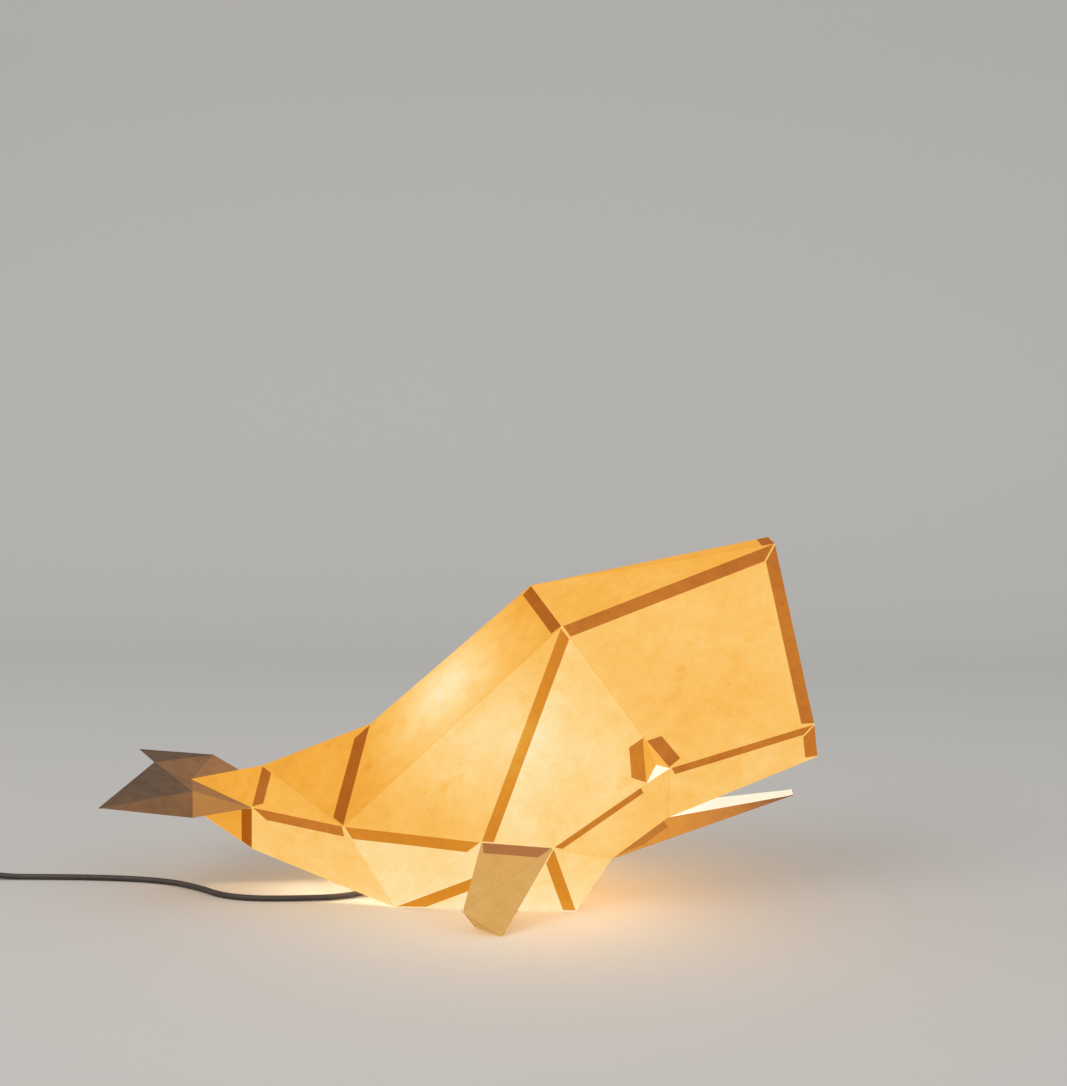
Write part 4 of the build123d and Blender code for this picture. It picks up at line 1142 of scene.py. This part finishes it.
def field_patches(name, kind, fields):
    """A patch for each field of a sheet, with the tabs that lie behind it."""
    patches = []
    for field, levels in zip(fields, GLOW[kind]):
        points, edges = with_pinholes(field)
        kinds = [edge_kind(edge, field, fields) for edge in edges]
        covered = [edge for edge in edges if edge and lies_over_tab(name, *edge)]
        tabs = [tab_corners(name, field, *edge)[0] for edge in covered]
        glow = glow_over(kind, *levels, normal_of(points))
        patches.append(patch(points, glow, tabs, kinds, faint=kind in FAINT_TABS))
    return patches


def tab_patches(name, kind):
    """A patch for each glue tab that a sheet carries, behind the sheet that lies over it."""
    patches = []
    for pair, (under, over) in SEAMS.items():
        if under != name:
            continue
        field = next(field for field in SHEETS[over] if pair <= set(field))
        following = field[1:] + field[:1]
        start, end = next(edge for edge in zip(field, following) if set(edge) == pair)
        corners, normal = tab_corners(over, field, start, end)
        corners = corners - normal * (PAPER + GLUE)
        patches.append(patch(corners, glow_over(kind, *GLOW[kind][0], normal), warp=0.0))
    return patches


def paper_mesh(name, patches):
    """One mesh of all a sheet's patches, joined where they meet."""
    starts = np.cumsum([0] + [len(verts) for verts, *_ in patches])
    faces = [
        [int(start + index) for index in face]
        for start, (_, own_faces, _) in zip(starts, patches)
        for face in own_faces
    ]
    mesh = bpy.data.meshes.new(name)
    mesh.from_pydata((np.concatenate([own[0] for own in patches]) * MM).tolist(), [], faces)
    for key in patches[0][2]:
        values = np.concatenate([own[key] for *_, own in patches])
        attribute = mesh.attributes.new(key, "FLOAT_VECTOR", "CORNER")
        attribute.data.foreach_set("vector", values.ravel())
    shape = bmesh.new()
    shape.from_mesh(mesh)
    bmesh.ops.remove_doubles(shape, verts=shape.verts, dist=WELD)
    shape.to_mesh(mesh)
    shape.free()
    return mesh


def build_sheet(name, fields):
    """One folded sheet with its glue tabs, as card of its real thickness."""
    kind = name.removesuffix("_right").removesuffix("_left")
    mesh = paper_mesh(f"paper_{name}", field_patches(name, kind, fields) + tab_patches(name, kind))
    mesh.materials.append(limb_outside if kind in LIMBS else paper_outside)
    mesh.materials.append(limb_inside if kind in LIMBS else paper_inside)
    sheet = link(bpy.data.objects.new(f"paper_{name}", mesh))
    card = sheet.modifiers.new("card", "SOLIDIFY")
    card.thickness, card.offset, card.material_offset = PAPER * MM, -1, 1
    card.use_even_offset = True
    stand_for(sheet, "shade", "paper", name)


TAB_BLUR = 0.25


def behind_the_card(tree):
    """From 0 to 1 where a glue tab lies behind: the least distance inside the tab's three inner
    lines, then the greatest of that over the tabs, eased over the tab's edge."""
    behind = -1.0
    for number in range(MOST_TABS):
        inner, first_end, second_end = tree.parts(tree.attribute(f"tab_{number}"))
        inside = tree.math("MINIMUM", inner, tree.math("MINIMUM", first_end, second_end))
        behind = tree.math("MAXIMUM", behind, inside)
    return tree.ease(behind, -TAB_BLUR, TAB_BLUR)


def make_paper_outside(name, open_light, tab_light):
    """Parchment-like card lit from behind, its light painted on as emission: cloudy, with fibres,
    smudges and specks, and painted shade along its folds. Two ramps give the light's colour by its
    level, in the open and over a tab."""
    tree = Tree(name)
    spot = tree.own_space()
    gap, kind, glow = tree.parts(tree.attribute("rim"))
    tab = behind_the_card(tree)

    mottle = tree.noise(spot, scale=75.0, detail=6.0, roughness=0.65)
    grain = tree.noise(spot, scale=700.0, detail=3.0, roughness=0.6)
    threads = tree.noise(tree.stretched((60, 60, 420)), scale=3.0, detail=4.0, roughness=0.6)
    haze = tree.noise(spot, scale=13.0, detail=5.0, roughness=0.6)
    dirt = tree.noise(spot, scale=34.0, detail=4.0, roughness=0.6)
    fibres = tree.ease(threads, 0.3, 0.7, 0.975, 1.025)
    cells = tree.add("TexVoronoi", {"feature": "F1"}, Vector=spot, Scale=70.0)
    uneven = {
        "clouds": tree.ease(haze, 0.3, 0.7, 0.94, 1.06),
        "shades": tree.ease(mottle, 0.25, 0.75, 0.96, 1.04),
        "grains": tree.ease(grain, 0.25, 0.75, 0.97, 1.03),
        "fibres": fibres,
        "smudges": tree.ease(dirt, 0.6, 0.74, 1.0, 0.90),
        "specks": tree.ease(cells.outputs["Distance"], 0.03, 0.09, 0.86, 1.0),
    }
    # painted shade: the emitted light dims close to each fold
    near_edge = tree.ease(gap, 0.15, 0.6, 0.12, 0.0)
    on_fold = tree.ease(kind, 0.2, 0.8, 1.0, 0.0)
    fold_shade = tree.math("MULTIPLY", near_edge, on_fold)
    level = tree.math("MULTIPLY", glow, tree.math("SUBTRACT", 1.0, fold_shade))
    for factor in uneven.values():
        level = tree.math("MULTIPLY", level, factor)

    # painted light: where the painted glow is strong, the card takes a darker, lit copy of its pulp
    # colour
    pulp = tree.shades(mottle, (0.100, 0.062, 0.039), (0.130, 0.083, 0.055))
    lit_pulp = tree.shades(mottle, (0.045, 0.023, 0.004), (0.060, 0.032, 0.008))
    return tree.surface(
        Base_Color=tree.blend(tree.ease(glow, 0.1, 0.4), pulp, lit_pulp),
        Normal=tree.bump(tree.math("ADD", grain, fibres), 0.3),
        Roughness=0.85,
        Specular_IOR_Level=0.12,
        Emission_Color=tree.blend(tab, tree.ramp(level, open_light), tree.ramp(level, tab_light)),
        Emission_Strength=1.0,
    )


def make_paper_inside(name, pulp, dim, bright):
    """The sheets' inner faces, lit by the bulb: two colours of light in soft clouds."""
    tree = Tree(name)
    return tree.surface(
        Base_Color=(*pulp, 1),
        Roughness=0.8,
        Emission_Color=tree.shades(tree.noise(tree.own_space(), 11.0, 3.0), dim, bright),
        Emission_Strength=1.0,
    )


paper_outside = make_paper_outside(
    "paper_outside",
    open_light=[
        (0.07, (0.0, 0.0, 0.0)),
        (0.2, (0.44, 0.15, 0.02)),
        (0.32, (0.64, 0.24, 0.04)),
        (0.44, (0.84, 0.38, 0.04)),
        (0.55, (0.92, 0.50, 0.11)),
        (0.66, (0.94, 0.62, 0.22)),
        (0.78, (0.95, 0.74, 0.37)),
        (1.0, (0.96, 0.90, 0.70)),
    ],
    tab_light=[
        (0.07, (0.0, 0.0, 0.0)),
        (0.3, (0.27, 0.075, 0.01)),
        (0.44, (0.37, 0.085, 0.0)),
        (0.55, (0.46, 0.135, 0.018)),
        (0.66, (0.60, 0.20, 0.015)),
        (0.78, (0.67, 0.24, 0.015)),
        (1.0, (0.80, 0.40, 0.05)),
    ],
)
# painted shade: the fins and flukes are the same card with dimmer, browner painted light
limb_outside = make_paper_outside(
    "limb_outside",
    open_light=[
        (0.07, (0.0, 0.0, 0.0)),
        (0.12, (0.13, 0.055, 0.016)),
        (0.2, (0.36, 0.15, 0.025)),
        (0.38, (0.62, 0.345, 0.10)),
        (0.55, (0.84, 0.52, 0.18)),
    ],
    tab_light=[
        (0.07, (0.0, 0.0, 0.0)),
        (0.2, (0.17, 0.055, 0.015)),
        (0.38, (0.37, 0.135, 0.045)),
    ],
)
paper_inside = make_paper_inside(
    "paper_inside", (0.12, 0.10, 0.07), (0.86, 0.76, 0.57), (0.90, 0.85, 0.73)
)
limb_inside = make_paper_inside(
    "limb_inside", (0.10, 0.06, 0.035), (0.42, 0.22, 0.05), (0.55, 0.32, 0.09)
)
for sheet_name, sheet_fields in SHEETS.items():
    build_sheet(sheet_name, sheet_fields)

# -------- close
bpy.context.view_layer.update()
